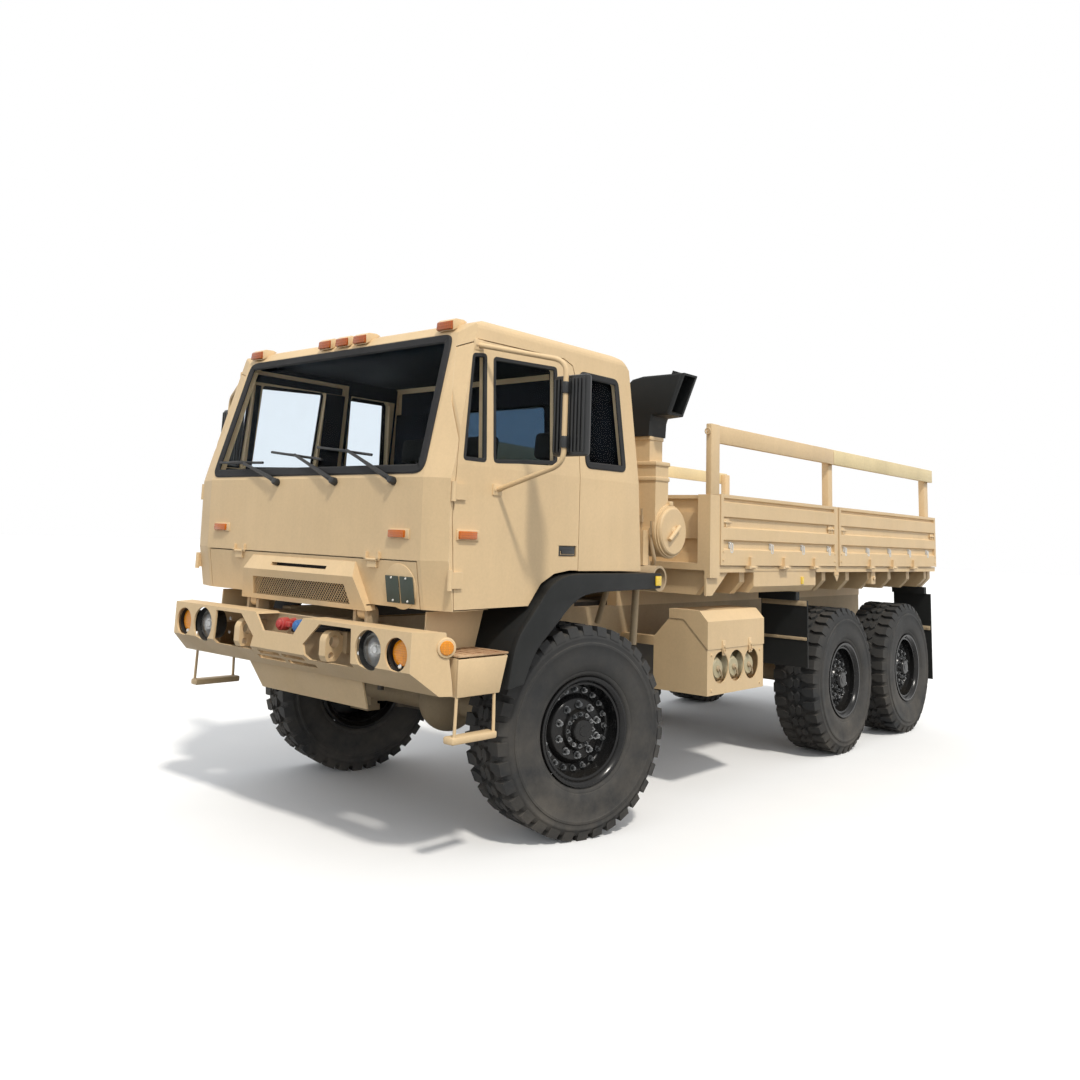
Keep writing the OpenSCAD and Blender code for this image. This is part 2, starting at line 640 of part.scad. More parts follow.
module tailgate() color("#c9b48c") {
    side_prism([for (p = panel_section) [gate_x + p[0], p[1]]], -gate_y, gate_y);
    both_sides() box(gate_x, gate_x + side_t, gate_y - stile_w, gate_y, side_z0, side_top);
    for (y = gate_hinge_y) translate([0, y, 0]) {
        bar_y(gate_pin_x, hinge_z, hinge_r, -60, 60);
        bar_y(gate_pin_x, hinge_z, 5, -gate_ear_y - gate_ear_half, gate_ear_y + gate_ear_half);
        box(tail_x, gate_x + 1, -40, 40, hinge_z, side_z0 + 60);
    }
}
// Mudflaps as place, outer Y and height of the foot
mudflaps = [[mudflap_x[0], 1222, 730], [mudflap_x[1], 1194, 418]];
module mudflaps() color("#1f1f21") both_sides() for (f = mudflaps) {
    box(f[0], f[0] + mudflap_t, mudflap_in, f[1], f[2], mudflap_top);
    box(f[0], f[0] + 60, mudflap_in, 1150, mudflap_top - 1, cross_z);
}
module tail_lamps() color("#a03024") both_sides()
    box(deck_x0 + 10, deck_x0 + 70, 860, 1090, cross_z - 110, cross_z);

// Cab
front_foot = [1183, 1265];
front_bend = [1228, 1510];
glass_foot = [1237, 1930];
glass_head = [1030, 2722];
cab_back_top = -400;
cab_back_low = -490;
arch = [[219, 1465], [354, 1447], [464, 1395], [515, 1338], [567, 1276]];
cab_profile = fx_points(concat([[cab_back_low, 1465]], arch,
    [front_foot, front_bend, glass_foot, glass_head,
    [990, roof_z - 30], [930, roof_z - 8], [-250, roof_z], [-340, roof_z - 22], [cab_back_top, 2715]]));
cab_section = concat([[-cab_y, 1100], [cab_y, 1100], [cab_y, belt_z]],
    arc([cab_roof_w / 2 - 70, roof_z - 68], 70, 8, 80, 5),
        arc([-cab_roof_w / 2 + 70, roof_z - 68], 70, 100, 172, 5),
    [[-cab_y, belt_z]]);
corner_y = 985;
corner_set = 42;

// Cut that sets back one front corner between two heights of the front face
module corner_cut(a, b, d) {
    lean = atan2(a[0] - b[0], b[1] - a[1]);
    l = norm(b - a);
    y_out = cab_y + 40;
    x_out = -corner_set * (y_out - corner_y) / (cab_y - corner_y);
    translate([fx(a[0]), 0, a[1]]) rotate([0, -lean, 0]) translate([-d, -d, -60])
        linear_extrude(l + 120) polygon([[0, corner_y], [x_out, y_out], [90, y_out], [90, corner_y]]);
}
module cab_solid(d) difference() {
    intersection() {
        side_prism(inset(cab_profile, d), -cab_y - 10, cab_y + 10);
        cross_prism(inset(cab_section, d), fx(-700), fx(1400));
    }
    both_sides() {
        corner_cut(front_foot, front_bend, d);
        corner_cut(front_bend, glass_foot, d);
        corner_cut(glass_foot, glass_head, d);
    }
}
door_outline = fx_points([[567, 1274], [1138, 1268], [1176, 1731], [1160, 2013], [1086, 2560],
    [1050, 2640],
    [990, 2680], [260, 2690], [180, 2660], [146, 2560], [140, 1462], [219, 1463], [354, 1445],
        [464, 1393],
    [515, 1336]]);
vent_window = fx_points([[950, 2030], [1105, 2030], [1030, 2560], [1000, 2595], [930, 2600]]);
door_window = fx_points([[360, 2070], [380, 2050], [860, 2030], [880, 2050], [868, 2590], [850, 2605],
    [350, 2620],
                         [335, 2600]]);
quarter_window = fx_points([[-290, 2078], [60, 2072], [84, 2096], [108, 2600], [90, 2625], [-245, 2625],
                            [-268, 2600], [-312, 2104]]);
windshield = [[-925, 1972], [925, 1972], [955, 2002], [922, 2660], [890, 2692], [-890, 2692],
    [-922, 2660],
              [-955, 2002]];
back_window = [[-400, 2120], [400, 2120], [420, 2140], [420, 2500], [400, 2520], [-400, 2520],
    [-420, 2500],
               [-420, 2140]];
flap_y = 960;
flap_top = 1506;
module cab_layer(d0, d1) difference() {
    cab_solid(d0);
    cab_solid(d1);
}
// Space of a door: through the side wall alone, which leans in above the belt line
door_depth = [[cab_y - cab_wall - 1, 1200], [cab_y + 60, 1200], [cab_y + 60, roof_z - 40],
              [cab_roof_w / 2 - cab_wall - 70, roof_z - 40], [cab_y - cab_wall - 1, belt_z]];
module door_cut(d) intersection() {
    side_prism(inset(door_outline, d), cab_y - 200, cab_y + 60);
    cross_prism(door_depth, fx(0), fx(1300));
}
// Hinge of the front panel on the cab's face above it
panel_hinge_x = fx(1235);
panel_hinge_z = flap_top - panel_gap;
panel_hinge_r = 8;
panel_pin_r = 4;
panel_hinge_y = [-620, 620];
panel_strap_y = 50;
panel_strap_half = 9;
panel_barrel_half = panel_strap_y - panel_strap_half - fit;
module panel_hinge() for (y = panel_hinge_y) translate([0, y, 0]) {
    bar_y(panel_hinge_x, panel_hinge_z, panel_hinge_r, -panel_barrel_half, panel_barrel_half);
    box(panel_hinge_x - 20, panel_hinge_x, -35, 35, panel_hinge_z - 40, panel_hinge_z - 2);
    bar_y(panel_hinge_x, panel_hinge_z, panel_pin_r, -panel_strap_y - 10, panel_strap_y + 10);
}
module hinge_straps() for (y = panel_hinge_y, s = [-1, 1])
    translate([0, y + s * panel_strap_y, 0]) difference() {
        box(panel_hinge_x - 20, panel_hinge_x + panel_hinge_r, -panel_strap_half, panel_strap_half,
            panel_hinge_z - panel_hinge_r, panel_hinge_z + 40);
        bar_y(panel_hinge_x, panel_hinge_z, panel_pin_r + fit, -10, 10);
        flap_box(panel_gap - 5);
    }
module flap_box(d)
    box(fx(front_foot[0]) - 58 + d, fx(1300), -flap_y + d, flap_y - d, 1200, flap_top - d);
module cab_shell() color("#c9b48c") {
    difference() {
        cab_layer(0, cab_wall);
        both_sides() {
            door_cut(-fit);
            side_prism(quarter_window, cab_y - 200, cab_y + 60);
        }
        cross_prism(windshield, fx(900), fx(1300));
        cross_prism(back_window, fx(-600), fx(-200));
        flap_box(-fit);
    }
    difference() {
        hinge_straps();
        cab_solid(1);
    }
    both_sides() difference() {
        union() {
            bar_y(pivot_x, pivot_z, 36, pivot_y - lug_w / 2, pivot_y + lug_w / 2);
            box(pivot_x - 36, pivot_x - 20, pivot_y - lug_w / 2, pivot_y + lug_w / 2, pivot_z,
                front_foot[1] + 5);
        }
        bar_y(pivot_x, pivot_z, 21, pivot_y - lug_w, pivot_y + lug_w);
    }
}
glass_in = 20;
module cab_glass() color("#33424a") intersection() {
    cab_layer(glass_in, glass_in + glass_t);
    union() {
        both_sides() side_prism(inset(quarter_window, fit), cab_y - 200, cab_y + 60);
        cross_prism(inset(windshield, fit), fx(900), fx(1300));
        cross_prism(inset(back_window, fit), fx(-600), fx(-200));
    }
}
// Nose of the front panel: chamfered above, with an air slot and a barred opening
nose_profile = fx_points([[1150, 1233], [1216, 1230], [1266, 1404], [1226, 1482], [1180, 1482]]);
nose_section = [[-585, 1215], [585, 1215], [475, 1490], [-475, 1490]];
// Room behind the nose for the cab's pivots
pivot_room = lug_w / 2 + ear_gap + ear_plate + 8;
mesh_section = [[-452, 1256], [452, 1256], [424, 1360], [-424, 1360]];
mesh_in = 30;
bar_t = 8;
bars_y = [for (i = [-9 : 9]) i * 47];
module mesh_bars() intersection() {
    cross_prism(mesh_section, fx(1100), fx(1300));
    union() {
        for (y = bars_y) box(fx(1160), fx(1174), y - bar_t / 2, y + bar_t / 2, 1250, 1366);
        for (z = [1286, 1326]) box(fx(1160), fx(1174), -460, 460, z - bar_t / 2, z + bar_t / 2);
    }
}
module grille_panel() color("#c9b48c") {
    difference() {
        union() {
            intersection() {
                cab_layer(0, cab_wall);
                flap_box(panel_gap);
            }
            intersection() {
                side_prism(nose_profile, -flap_y, flap_y);
                cross_prism(nose_section, fx(1100), fx(1300));
            }
        }
        cross_prism(mesh_section, fx(1100), fx(1300));
        box(fx(1100), fx(1300), -257, 257, 1430, 1449);
        both_sides() box(fx(1100), fx(1206), pivot_y - pivot_room, pivot_y + pivot_room, 1200,
            front_foot[1] - 1);
    }
    mesh_bars();
    difference() {
        panel_hinge();
        cab_solid(1);
    }
}
// Roof lamps as middle Y, half width; all stand on the roof's front edge
roof_lamps = [[-885, 80], [-166, 76], [0, 76], [166, 76], [885, 80]];
lamp_x = [fx(962), fx(1042)];
lamp_top = roof_z + 12;
marker_z = [1614, 1665];
front_rake = (glass_foot[0] - front_bend[0]) / (glass_foot[1] - front_bend[1]);
function front_at(z) = front_bend[0] + front_rake * (z - front_bend[1]);
module cab_lamps() color("#d9822b") {
    difference() {
        for (l = roof_lamps) box(lamp_x[0], lamp_x[1], l[0] - l[1], l[0] + l[1], roof_z - 62, lamp_top);
        cab_solid(-fit);
    }
    both_sides() side_prism(fx_points(concat([for (z = marker_z) [front_at(z) + fit, z]],
        [for (i = [1, 0]) [front_at(marker_z[i]) + 22, marker_z[i]]])), 745, 900);
}
module dash_body() intersection() {
    side_prism(fx_points([[1220, 1700], [1220, 1925], [1120, 1950], [930, 1930], [860, 1880],
        [900, 1700]]),
               -cab_y + cab_wall + 60, cab_y - cab_wall - 60);
    cab_solid(cab_wall + fit);
}
module dashboard() color("#2f3133") dash_body();
wheel_c = [fx(690), 600, 1900];
wheel_tilt = -32;
module steering_wheel() color("#232426") {
    translate(wheel_c) rotate([0, wheel_tilt, 0]) {
        rotate_extrude() translate([225, 0]) circle(r = 17);
        for (a = [90, 210, 330]) rotate([0, 0, a]) translate([0, -14, -12]) cube([222, 28, 16]);
        translate([0, 0, -40]) cylinder(h = 60, r = 60);
    }
    difference() {
        rod(wheel_c, [fx(950), 600, 1760], 30);
        dash_body();
    }
}
seat_y = [-640, 0, 640];
seat_w = 470;
seat_z = 1515 + fit;
seat_side = fx_points([[-250, seat_z], [330, seat_z], [330, 1700], [300, 1730], [-60, 1700], [-150, 2330],
                       [-190, 2350], [-250, 2330]]);
module seats() color("#3c3f38") for (y = seat_y) side_prism(seat_side, y - seat_w / 2, y + seat_w / 2);

// Doors with their glass and mirrors
door_hinge_x = fx(1184);
pocket_in = 14;
module door_lamp() box(fx(981), fx(1141), cab_y + fit, cab_y + 22, 1617, 1671);
module door_leaf() {
    difference() {
        intersection() {
            cab_layer(0, cab_wall);
            door_cut(panel_gap);
        }
        side_prism(vent_window, cab_y - 200, cab_y + 60);
        side_prism(door_window, cab_y - 200, cab_y + 60);
        box(fx(164), fx(324), cab_y - pocket_in, cab_y + 1, 1544, 1607);
    }
    box(fx(182), fx(306), cab_y - pocket_in - 1, cab_y - 3, 1556, 1576);
    for (z = [1420, 1860]) translate([0, 0, z]) {
        translate([door_hinge_x, cab_y + 14, -50]) cylinder(h = 100, r = 13);
        box(door_hinge_x - 90, door_hinge_x - 46, cab_y - 1, cab_y + 14, -40, 40);
        box(door_hinge_x - 47, door_hinge_x, cab_y + 2, cab_y + 14, -40, 40);
    }
}
module door_panes() intersection() {
    cab_layer(glass_in, glass_in + glass_t);
    union() {
        side_prism(inset(vent_window, fit), cab_y - 200, cab_y + 60);
        side_prism(inset(door_window, fit), cab_y - 200, cab_y + 60);
    }
}
mirror_y = cab_y + 400;
mirror_x = fx(800);
mirror_low = 2020;
arm_r = 12;
post_r = 14;
mirror_high = 2550;
module mirror_set() {
    difference() {
        union() {
            rod([fx(854), cab_y - 40, 1885], [mirror_x, mirror_y, mirror_low], arm_r);
            rod([fx(986), cab_y - 80, 2640], [mirror_x, mirror_y, mirror_high], arm_r);
        }
        cab_solid(-fit);
    }
    translate([mirror_x, mirror_y, mirror_low - post_r])
        cylinder(h = mirror_high - mirror_low + 2 * post_r, r = post_r);
    box(mirror_x - 66, mirror_x - 10, mirror_y - 100, mirror_y + 125, 2060, 2480);
}
module door_left() color("#c9b48c") door_leaf();
module door_right() color("#c9b48c") mirror([0, 1, 0]) door_leaf();
module door_left_glass() color("#33424a") door_panes();
module door_right_glass() color("#33424a") mirror([0, 1, 0]) door_panes();
module door_left_lamp() color("#d9822b") door_lamp();
module door_right_lamp() color("#d9822b") mirror([0, 1, 0]) door_lamp();
module mirror_left() color("#2b2b2d") mirror_set();
module mirror_right() color("#2b2b2d") mirror([0, 1, 0]) mirror_set();

// Steering, with the front wheels standing at their rest angle
module steered() translate([axle1_x, kingpin_y, hub_z]) rotate([0, 0, steer_rest])
    translate([-axle1_x, -kingpin_y, -hub_z]) children();
module steered_right() translate([axle1_x, -kingpin_y, hub_z]) rotate([0, 0, steer_rest])
    translate([-axle1_x, kingpin_y, -hub_z]) children();
arm_h = 36;
arm_z = hub_z - knuckle_h / 2 + 5;
arm_l = norm([steer_arm, steer_in]);
arm_turn = atan2(-steer_in, -steer_arm);
tie_h = 38;
tie_z = arm_z - 2 - tie_h;
tie_pin_r = 16;
tie_eye_r = 36;
module knuckle_shape() {
    translate([axle1_x, kingpin_y, hub_z - knuckle_h / 2]) cylinder(h = knuckle_h, r = 55);
    translate([axle1_x, kingpin_y, hub_z - knuckle_h / 2 - 5 - ear_t])
        cylinder(h = knuckle_h + 10 + 2 * ear_t, r = pin_r);
    bar_y(axle1_x, hub_z, spindle_r, kingpin_y, track / 2 + 80);
    translate([axle1_x, kingpin_y, arm_z]) rotate([0, 0, arm_turn]) {
        box(0, arm_l, -24, 24, 0, arm_h);
        translate([arm_l, 0, 0]) cylinder(h = arm_h, r = tie_eye_r);
    }
}
module knuckle_left() color("#8d8068") {
    steered() knuckle_shape();
    translate([tie_left[0], tie_left[1], tie_z - 4]) cylinder(h = tie_h + 8, r = tie_pin_r);
}
module knuckle_right() color("#8d8068") steered_right() mirror([0, 1, 0]) knuckle_shape();
// Ends of the tie rod; its right ball joint stands open, clear of the arm's eye
function turned(x, y) = [axle1_x + x * cos(steer_rest) - y * sin(steer_rest),
                         x * sin(steer_rest) + y * cos(steer_rest)];
tie_left = turned(-steer_arm, -steer_in) + [0, kingpin_y];
tie_right = turned(-steer_arm, steer_in) - [0, kingpin_y];
module tie_rod() color("#6a655a") difference() {
    union() {
        for (e = [tie_left, tie_right]) translate([e[0], e[1], tie_z]) cylinder(h = tie_h, r = tie_eye_r);
        rod([tie_left[0], tie_left[1], tie_z + tie_h / 2],
            [tie_right[0], tie_right[1], tie_z + tie_h / 2], 18);
    }
    translate([tie_left[0], tie_left[1], tie_z - 1]) cylinder(h = tie_h + 2, r = tie_pin_r + 1);
}

// Wheels: outlines as radius and distance outward from the wheel's centre plane
hub_r = 120;
rim_half = rim_w / 2;
flange_t = 15;
barrel_t = 14;
disc_in = 40;
disc_out = 62;
cap_face = 165;
rim_outline = [[spindle_r + fit, -100], [hub_r, -100], [hub_r, disc_in], [bead_d / 2 - barrel_t, disc_in],
    [bead_d / 2 - barrel_t, -rim_half], [flange_d / 2, -rim_half], [flange_d / 2, -rim_half + flange_t],
    [bead_d / 2, -rim_half + flange_t], [bead_d / 2, rim_half - flange_t],
        [flange_d / 2, rim_half - flange_t],
    [flange_d / 2, rim_half], [bead_d / 2 - barrel_t, rim_half], [bead_d / 2 - barrel_t, disc_out],
    [168, disc_out], [168, disc_out + 24], [98, disc_out + 24], [98, cap_face - 18], [80, cap_face],
        [0, cap_face],
    [0, 90], [spindle_r + fit, 90]];
bead_half = rim_half - flange_t - fit;
tread_half = 176;
lug_h = 24;
lugs = 30;
tread_lug_w = 74;
foot_r = tyre_d / 2 - lug_h;
// Middle and half height of the round sidewall, from the rim flange to the lugs' feet
wall_mid = (flange_d + tyre_d) / 4 - 18;
wall_half = (tyre_d - flange_d) / 4 - 32;
tyre_wall = concat([[bead_d / 2 + fit, bead_half], [flange_d / 2 + fit, bead_half]],
    [for (a = [-50 : 20 : 50]) [wall_mid + wall_half * sin(a) / sin(50),
                                bead_half + 12 + (tyre_w / 2 - bead_half - 12) * cos(a)]]);
function mirrored(half) = concat(half, [for (i = [len(half) - 1 : -1 : 0]) [half[i][0], -half[i][1]]]);
carcass_outline = mirrored(concat(tyre_wall, [[foot_r, tread_half - 8]]));
tread_outline = [[foot_r - 30, 14], [tyre_d / 2, 14], [tyre_d / 2, tread_half - 10],
    [foot_r - 4, tread_half + 8],
                 [foot_r - 30, tread_half + 8]];
// One side's lugs as wedges of a ring, thinned to half of each pitch
module lug_ring() intersection() {
    rotate_extrude() polygon(tread_outline);
    for (i = [0 : lugs / 2 - 1]) rotate([0, 0, i * 360 / lugs])
        translate([-tyre_d, -tread_lug_w / 2, 0]) cube([2 * tyre_d, tread_lug_w, tyre_w]);
}
module tyre_shape() {
    rotate_extrude() polygon(carcass_outline);
    lug_ring();
    rotate([0, 0, 180 / lugs]) mirror([0, 0, 1]) lug_ring();
}
module wheel_at(x) translate([x, track / 2, hub_z]) rotate([-90, 0, 0]) children();
module tyre_at(x) wheel_at(x) tyre_shape();
module rim_at(x) wheel_at(x) rotate_extrude() polygon(rim_outline);
module tyre_front_left() color("#3a3b3d") steered() tyre_at(axle1_x);
module tyre_front_right() color("#3a3b3d") steered_right() mirror([0, 1, 0]) tyre_at(axle1_x);
module tyre_middle_left() color("#3a3b3d") tyre_at(axle2_x);
module tyre_middle_right() color("#3a3b3d") mirror([0, 1, 0]) tyre_at(axle2_x);
module tyre_rear_left() color("#3a3b3d") tyre_at(axle3_x);
module tyre_rear_right() color("#3a3b3d") mirror([0, 1, 0]) tyre_at(axle3_x);
module rim_front_left() color("#1d1e20") steered() rim_at(axle1_x);
module rim_front_right() color("#1d1e20") steered_right() mirror([0, 1, 0]) rim_at(axle1_x);
module rim_middle_left() color("#1d1e20") rim_at(axle2_x);
module rim_middle_right() color("#1d1e20") mirror([0, 1, 0]) rim_at(axle2_x);
module rim_rear_left() color("#1d1e20") rim_at(axle3_x);
module rim_rear_right() color("#1d1e20") mirror([0, 1, 0]) rim_at(axle3_x);

frame_rails();
crossmembers();
cab_mounts();
engine_block();
leaf_springs();
front_axle();
tandem_axles();
driveline();
front_bumper();
bumper_lamps();
tow_hooks();
cab_steps();
fender_flares();
air_intake();
intake_hood();
battery_box();
battery_lid();
air_tanks();
fuel_tank();
toolbox();
bed_deck();
headboard();
side_racks();
dropside_front_left();
dropside_front_right();
dropside_rear_left();
dropside_rear_right();
tailgate();
mudflaps();
tail_lamps();
cab_shell();
cab_glass();
cab_lamps();
dashboard();
steering_wheel();
seats();
grille_panel();
door_left();
door_right();
door_left_glass();
door_right_glass();
door_left_lamp();
door_right_lamp();
mirror_left();
mirror_right();
knuckle_left();
knuckle_right();
tie_rod();
tyre_front_left();
tyre_front_right();
tyre_middle_left();
tyre_middle_right();
tyre_rear_left();
tyre_rear_right();
rim_front_left();
rim_front_right();
rim_middle_left();
rim_middle_right();
rim_rear_left();
rim_rear_right();
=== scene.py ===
"""Looks of a six-wheeled cargo truck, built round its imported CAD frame.

Metres. +X is forward, +Y the truck's left, Z = 0 the ground, and the origin lies under the middle.
"""

import math

import bmesh
import bpy
from mathutils import Matrix, Vector


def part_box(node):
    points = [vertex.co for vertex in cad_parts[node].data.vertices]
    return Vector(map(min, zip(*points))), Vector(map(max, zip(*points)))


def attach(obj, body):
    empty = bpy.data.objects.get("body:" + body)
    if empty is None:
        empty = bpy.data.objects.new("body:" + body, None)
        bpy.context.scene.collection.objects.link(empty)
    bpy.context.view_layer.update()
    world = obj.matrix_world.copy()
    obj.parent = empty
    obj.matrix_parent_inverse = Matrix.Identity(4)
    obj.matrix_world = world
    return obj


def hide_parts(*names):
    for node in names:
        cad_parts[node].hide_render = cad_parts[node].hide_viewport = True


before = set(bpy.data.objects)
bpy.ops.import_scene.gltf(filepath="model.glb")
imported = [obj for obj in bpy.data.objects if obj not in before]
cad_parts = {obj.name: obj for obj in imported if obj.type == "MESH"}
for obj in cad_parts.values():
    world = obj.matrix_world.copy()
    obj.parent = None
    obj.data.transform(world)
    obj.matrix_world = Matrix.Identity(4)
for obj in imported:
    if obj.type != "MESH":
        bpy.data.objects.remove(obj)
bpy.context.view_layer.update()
scene = bpy.context.scene

# Places read from the frame
# The steered front tyres stand as far ahead of the axle on one side as behind it on the other
FRONT_AXLE = sum(corner.x for tyre in ("tyre_front_left", "tyre_front_right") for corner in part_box(tyre)) / 4
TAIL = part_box("tailgate")[0].x
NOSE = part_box("front_bumper")[1].x
CAB_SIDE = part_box("cab_shell")[1].y
BED_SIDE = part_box("bed_deck")[1].y - 0.025
WHEEL_TURN = math.radians(-15)
SIDES = (("left", 1), ("right", -1))
X, Y, Z = Vector((1, 0, 0)), Vector((0, 1, 0)), Vector((0, 0, 1))


def ahead(x):
    """A place along the truck given in metres ahead of the front axle."""
    return FRONT_AXLE + x


# Shader helpers and shared effects


def add_node(tree, kind, inputs=None, **settings):
    """A shader node with its settings, and each named input linked or set."""
    made = tree.nodes.new(kind)
    for key, value in settings.items():
        setattr(made, key, value)
    for key, value in (inputs or {}).items():
        if isinstance(value, bpy.types.NodeSocket):
            tree.links.new(value, made.inputs[key])
        else:
            made.inputs[key].default_value = value
    return made


def maths(tree, operation, first, second=0.0, clamp=False):
    made = add_node(tree, "ShaderNodeMath", {0: first, 1: second}, operation=operation, use_clamp=clamp)
    return made.outputs[0]


def spread(tree, value, low, high, to_low=0.0, to_high=1.0):
    """A value stretched from one range to another, and held inside it."""
    names = {"Value": value, "From Min": low, "From Max": high, "To Min": to_low, "To Max": to_high}
    return add_node(tree, "ShaderNodeMapRange", names).outputs["Result"]


def blend_colour(tree, factor, first, second, mode="MIX"):
    made = add_node(tree, "ShaderNodeMix", data_type="RGBA", blend_type=mode)
    for index, value in ((0, factor), (6, first), (7, second)):
        if isinstance(value, bpy.types.NodeSocket):
            tree.links.new(value, made.inputs[index])
        else:
            made.inputs[index].default_value = value
    return made.outputs[2]


def noise(tree, scale, detail=4.0, rough=0.55, stretch=(1, 1, 1)):
    """Noise on the piece's own coordinates, which are the truck's."""
    place = add_node(tree, "ShaderNodeTexCoord").outputs["Object"]
    mapped = add_node(tree, "ShaderNodeMapping", {"Vector": place, "Scale": stretch}).outputs[0]
    inputs = {"Vector": mapped, "Scale": scale, "Detail": detail, "Roughness": rough}
    return add_node(tree, "ShaderNodeTexNoise", inputs).outputs["Fac"]


def new_group(name, inputs, outputs):
    """An empty node group with its sockets; each entry is a name, a socket type and a starting value."""
    group = bpy.data.node_groups.new(name, "ShaderNodeTree")
    for label, kind, start in inputs:
        socket = group.interface.new_socket(label, in_out="INPUT", socket_type="NodeSocket" + kind)
        socket.default_value = start
    for label, kind in outputs:
        group.interface.new_socket(label, in_out="OUTPUT", socket_type="NodeSocket" + kind)
    return group, group.nodes.new("NodeGroupInput").outputs, group.nodes.new("NodeGroupOutput").inputs


def make_edge_wear():
    """Mask of the rubbed outer edges, broken up by noise."""
    group, given, out = new_group("edge_wear", [("Radius", "Float", 0.006), ("Amount", "Float", 0.5)],
                                  [("Mask", "Float")])
    soft = add_node(group, "ShaderNodeBevel", {"Radius": given["Radius"]}, samples=4).outputs[0]
    hard = add_node(group, "ShaderNodeNewGeometry").outputs["Normal"]
    turn = add_node(group, "ShaderNodeVectorMath", {0: soft, 1: hard},
                    operation="DOT_PRODUCT").outputs["Value"]
    edge = spread(group, turn, 0.995, 0.90)
    patches = spread(group, noise(group, 9.0, 6.0, 0.65), 0.42, 0.62)
    worn = maths(group, "MULTIPLY", edge, patches)
    group.links.new(maths(group, "MULTIPLY", worn, given["Amount"], True), out["Mask"])
    return group


def make_mottle():
    """A colour varied softly in large clouds, small specks and rain streaks."""
    group, given, out = new_group("mottle", [("Color", "Color", (1, 1, 1, 1)), ("Amount", "Float", 0.2),
                                             ("Streaks", "Float", 0.1)], [("Color", "Color")])
    clouds = spread(group, noise(group, 1.7, 5.0), 0.3, 0.7, -1, 1)
    specks = spread(group, noise(group, 60.0, 3.0, 0.7), 0.3, 0.7, -0.5, 0.5)
    runs = spread(group, noise(group, 11.0, 4.0, 0.6, (1, 1, 0.07)), 0.35, 0.72, 0.3, -1.0)
    change = maths(group, "MULTIPLY", maths(group, "ADD", clouds, specks), given["Amount"])
    change = maths(group, "ADD", change, maths(group, "MULTIPLY", runs, given["Streaks"]))
    bright = maths(group, "ADD", change, 1.0)
    shift = add_node(group, "ShaderNodeHueSaturation", {"Value": bright, "Color": given["Color"]})
    group.links.new(shift.outputs[0], out["Color"])
    return group


def make_dust():
    """Pale road dust: more low on the truck, on faces that look up, and in patches."""
    group, given, out = new_group("dust",
                                  [("Color", "Color", (1, 1, 1, 1)), ("Dust", "Color", (0.5, 0.42, 0.3, 1)),
                                   ("Amount", "Float", 0.3), ("Height", "Float", 1.2)],
                                  [("Color", "Color"), ("Mask", "Float")])
    place = add_node(group, "ShaderNodeTexCoord").outputs["Object"]
    height = add_node(group, "ShaderNodeSeparateXYZ", {0: place}).outputs["Z"]
    low = spread(group, maths(group, "DIVIDE", height, given["Height"]), 1.0, 0.1)
    up = add_node(group, "ShaderNodeSeparateXYZ",
                  {0: add_node(group, "ShaderNodeNewGeometry").outputs["Normal"]})
    lying = spread(group, up.outputs["Z"], 0.5, 1.0, 0.0, 0.7)
    patches = spread(group, noise(group, 3.2, 8.0, 0.68), 0.36, 0.68)
    cover = maths(group, "MULTIPLY", maths(group, "ADD", low, lying), patches)
    mask = maths(group, "MULTIPLY", cover, given["Amount"], True)
    group.links.new(blend_colour(group, mask, given["Color"], given["Dust"]), out["Color"])
    group.links.new(mask, out["Mask"])
    return group


def make_grain():
    """Fine surface height of sprayed paint, cast iron or moulded rubber."""
    group, given, out = new_group("grain", [("Scale", "Float", 300.0), ("Waves", "Float", 0.3)],
                                  [("Height", "Float")])
    place = add_node(group, "ShaderNodeTexCoord").outputs["Object"]
    fine = add_node(group, "ShaderNodeTexNoise",
                    {"Vector": place, "Scale": given["Scale"], "Detail": 2.0}).outputs["Fac"]
    broad = noise(group, 5.0, 3.0)
    group.links.new(maths(group, "ADD", fine, maths(group, "MULTIPLY", broad, given["Waves"])), out["Height"])
    return group


EDGE_WEAR, MOTTLE, DUST, GRAIN = make_edge_wear(), make_mottle(), make_dust(), make_grain()


def use_group(tree, group, inputs):
    made = add_node(tree, "ShaderNodeGroup", node_tree=group)
    for key, value in inputs.items():
        if isinstance(value, bpy.types.NodeSocket):
            tree.links.new(value, made.inputs[key])
        else:
            made.inputs[key].default_value = value
    return made.outputs


def new_material(name):
    material = bpy.data.materials.new(name)
    material.use_nodes = True
    tree = material.node_tree
    return material, tree, tree.nodes["Principled BSDF"]


def set_bump(tree, shader, height, strength, distance):
    inputs = {"Height": height, "Strength": strength, "Distance": distance}
    tree.links.new(add_node(tree, "ShaderNodeBump", inputs).outputs[0], shader.inputs["Normal"])


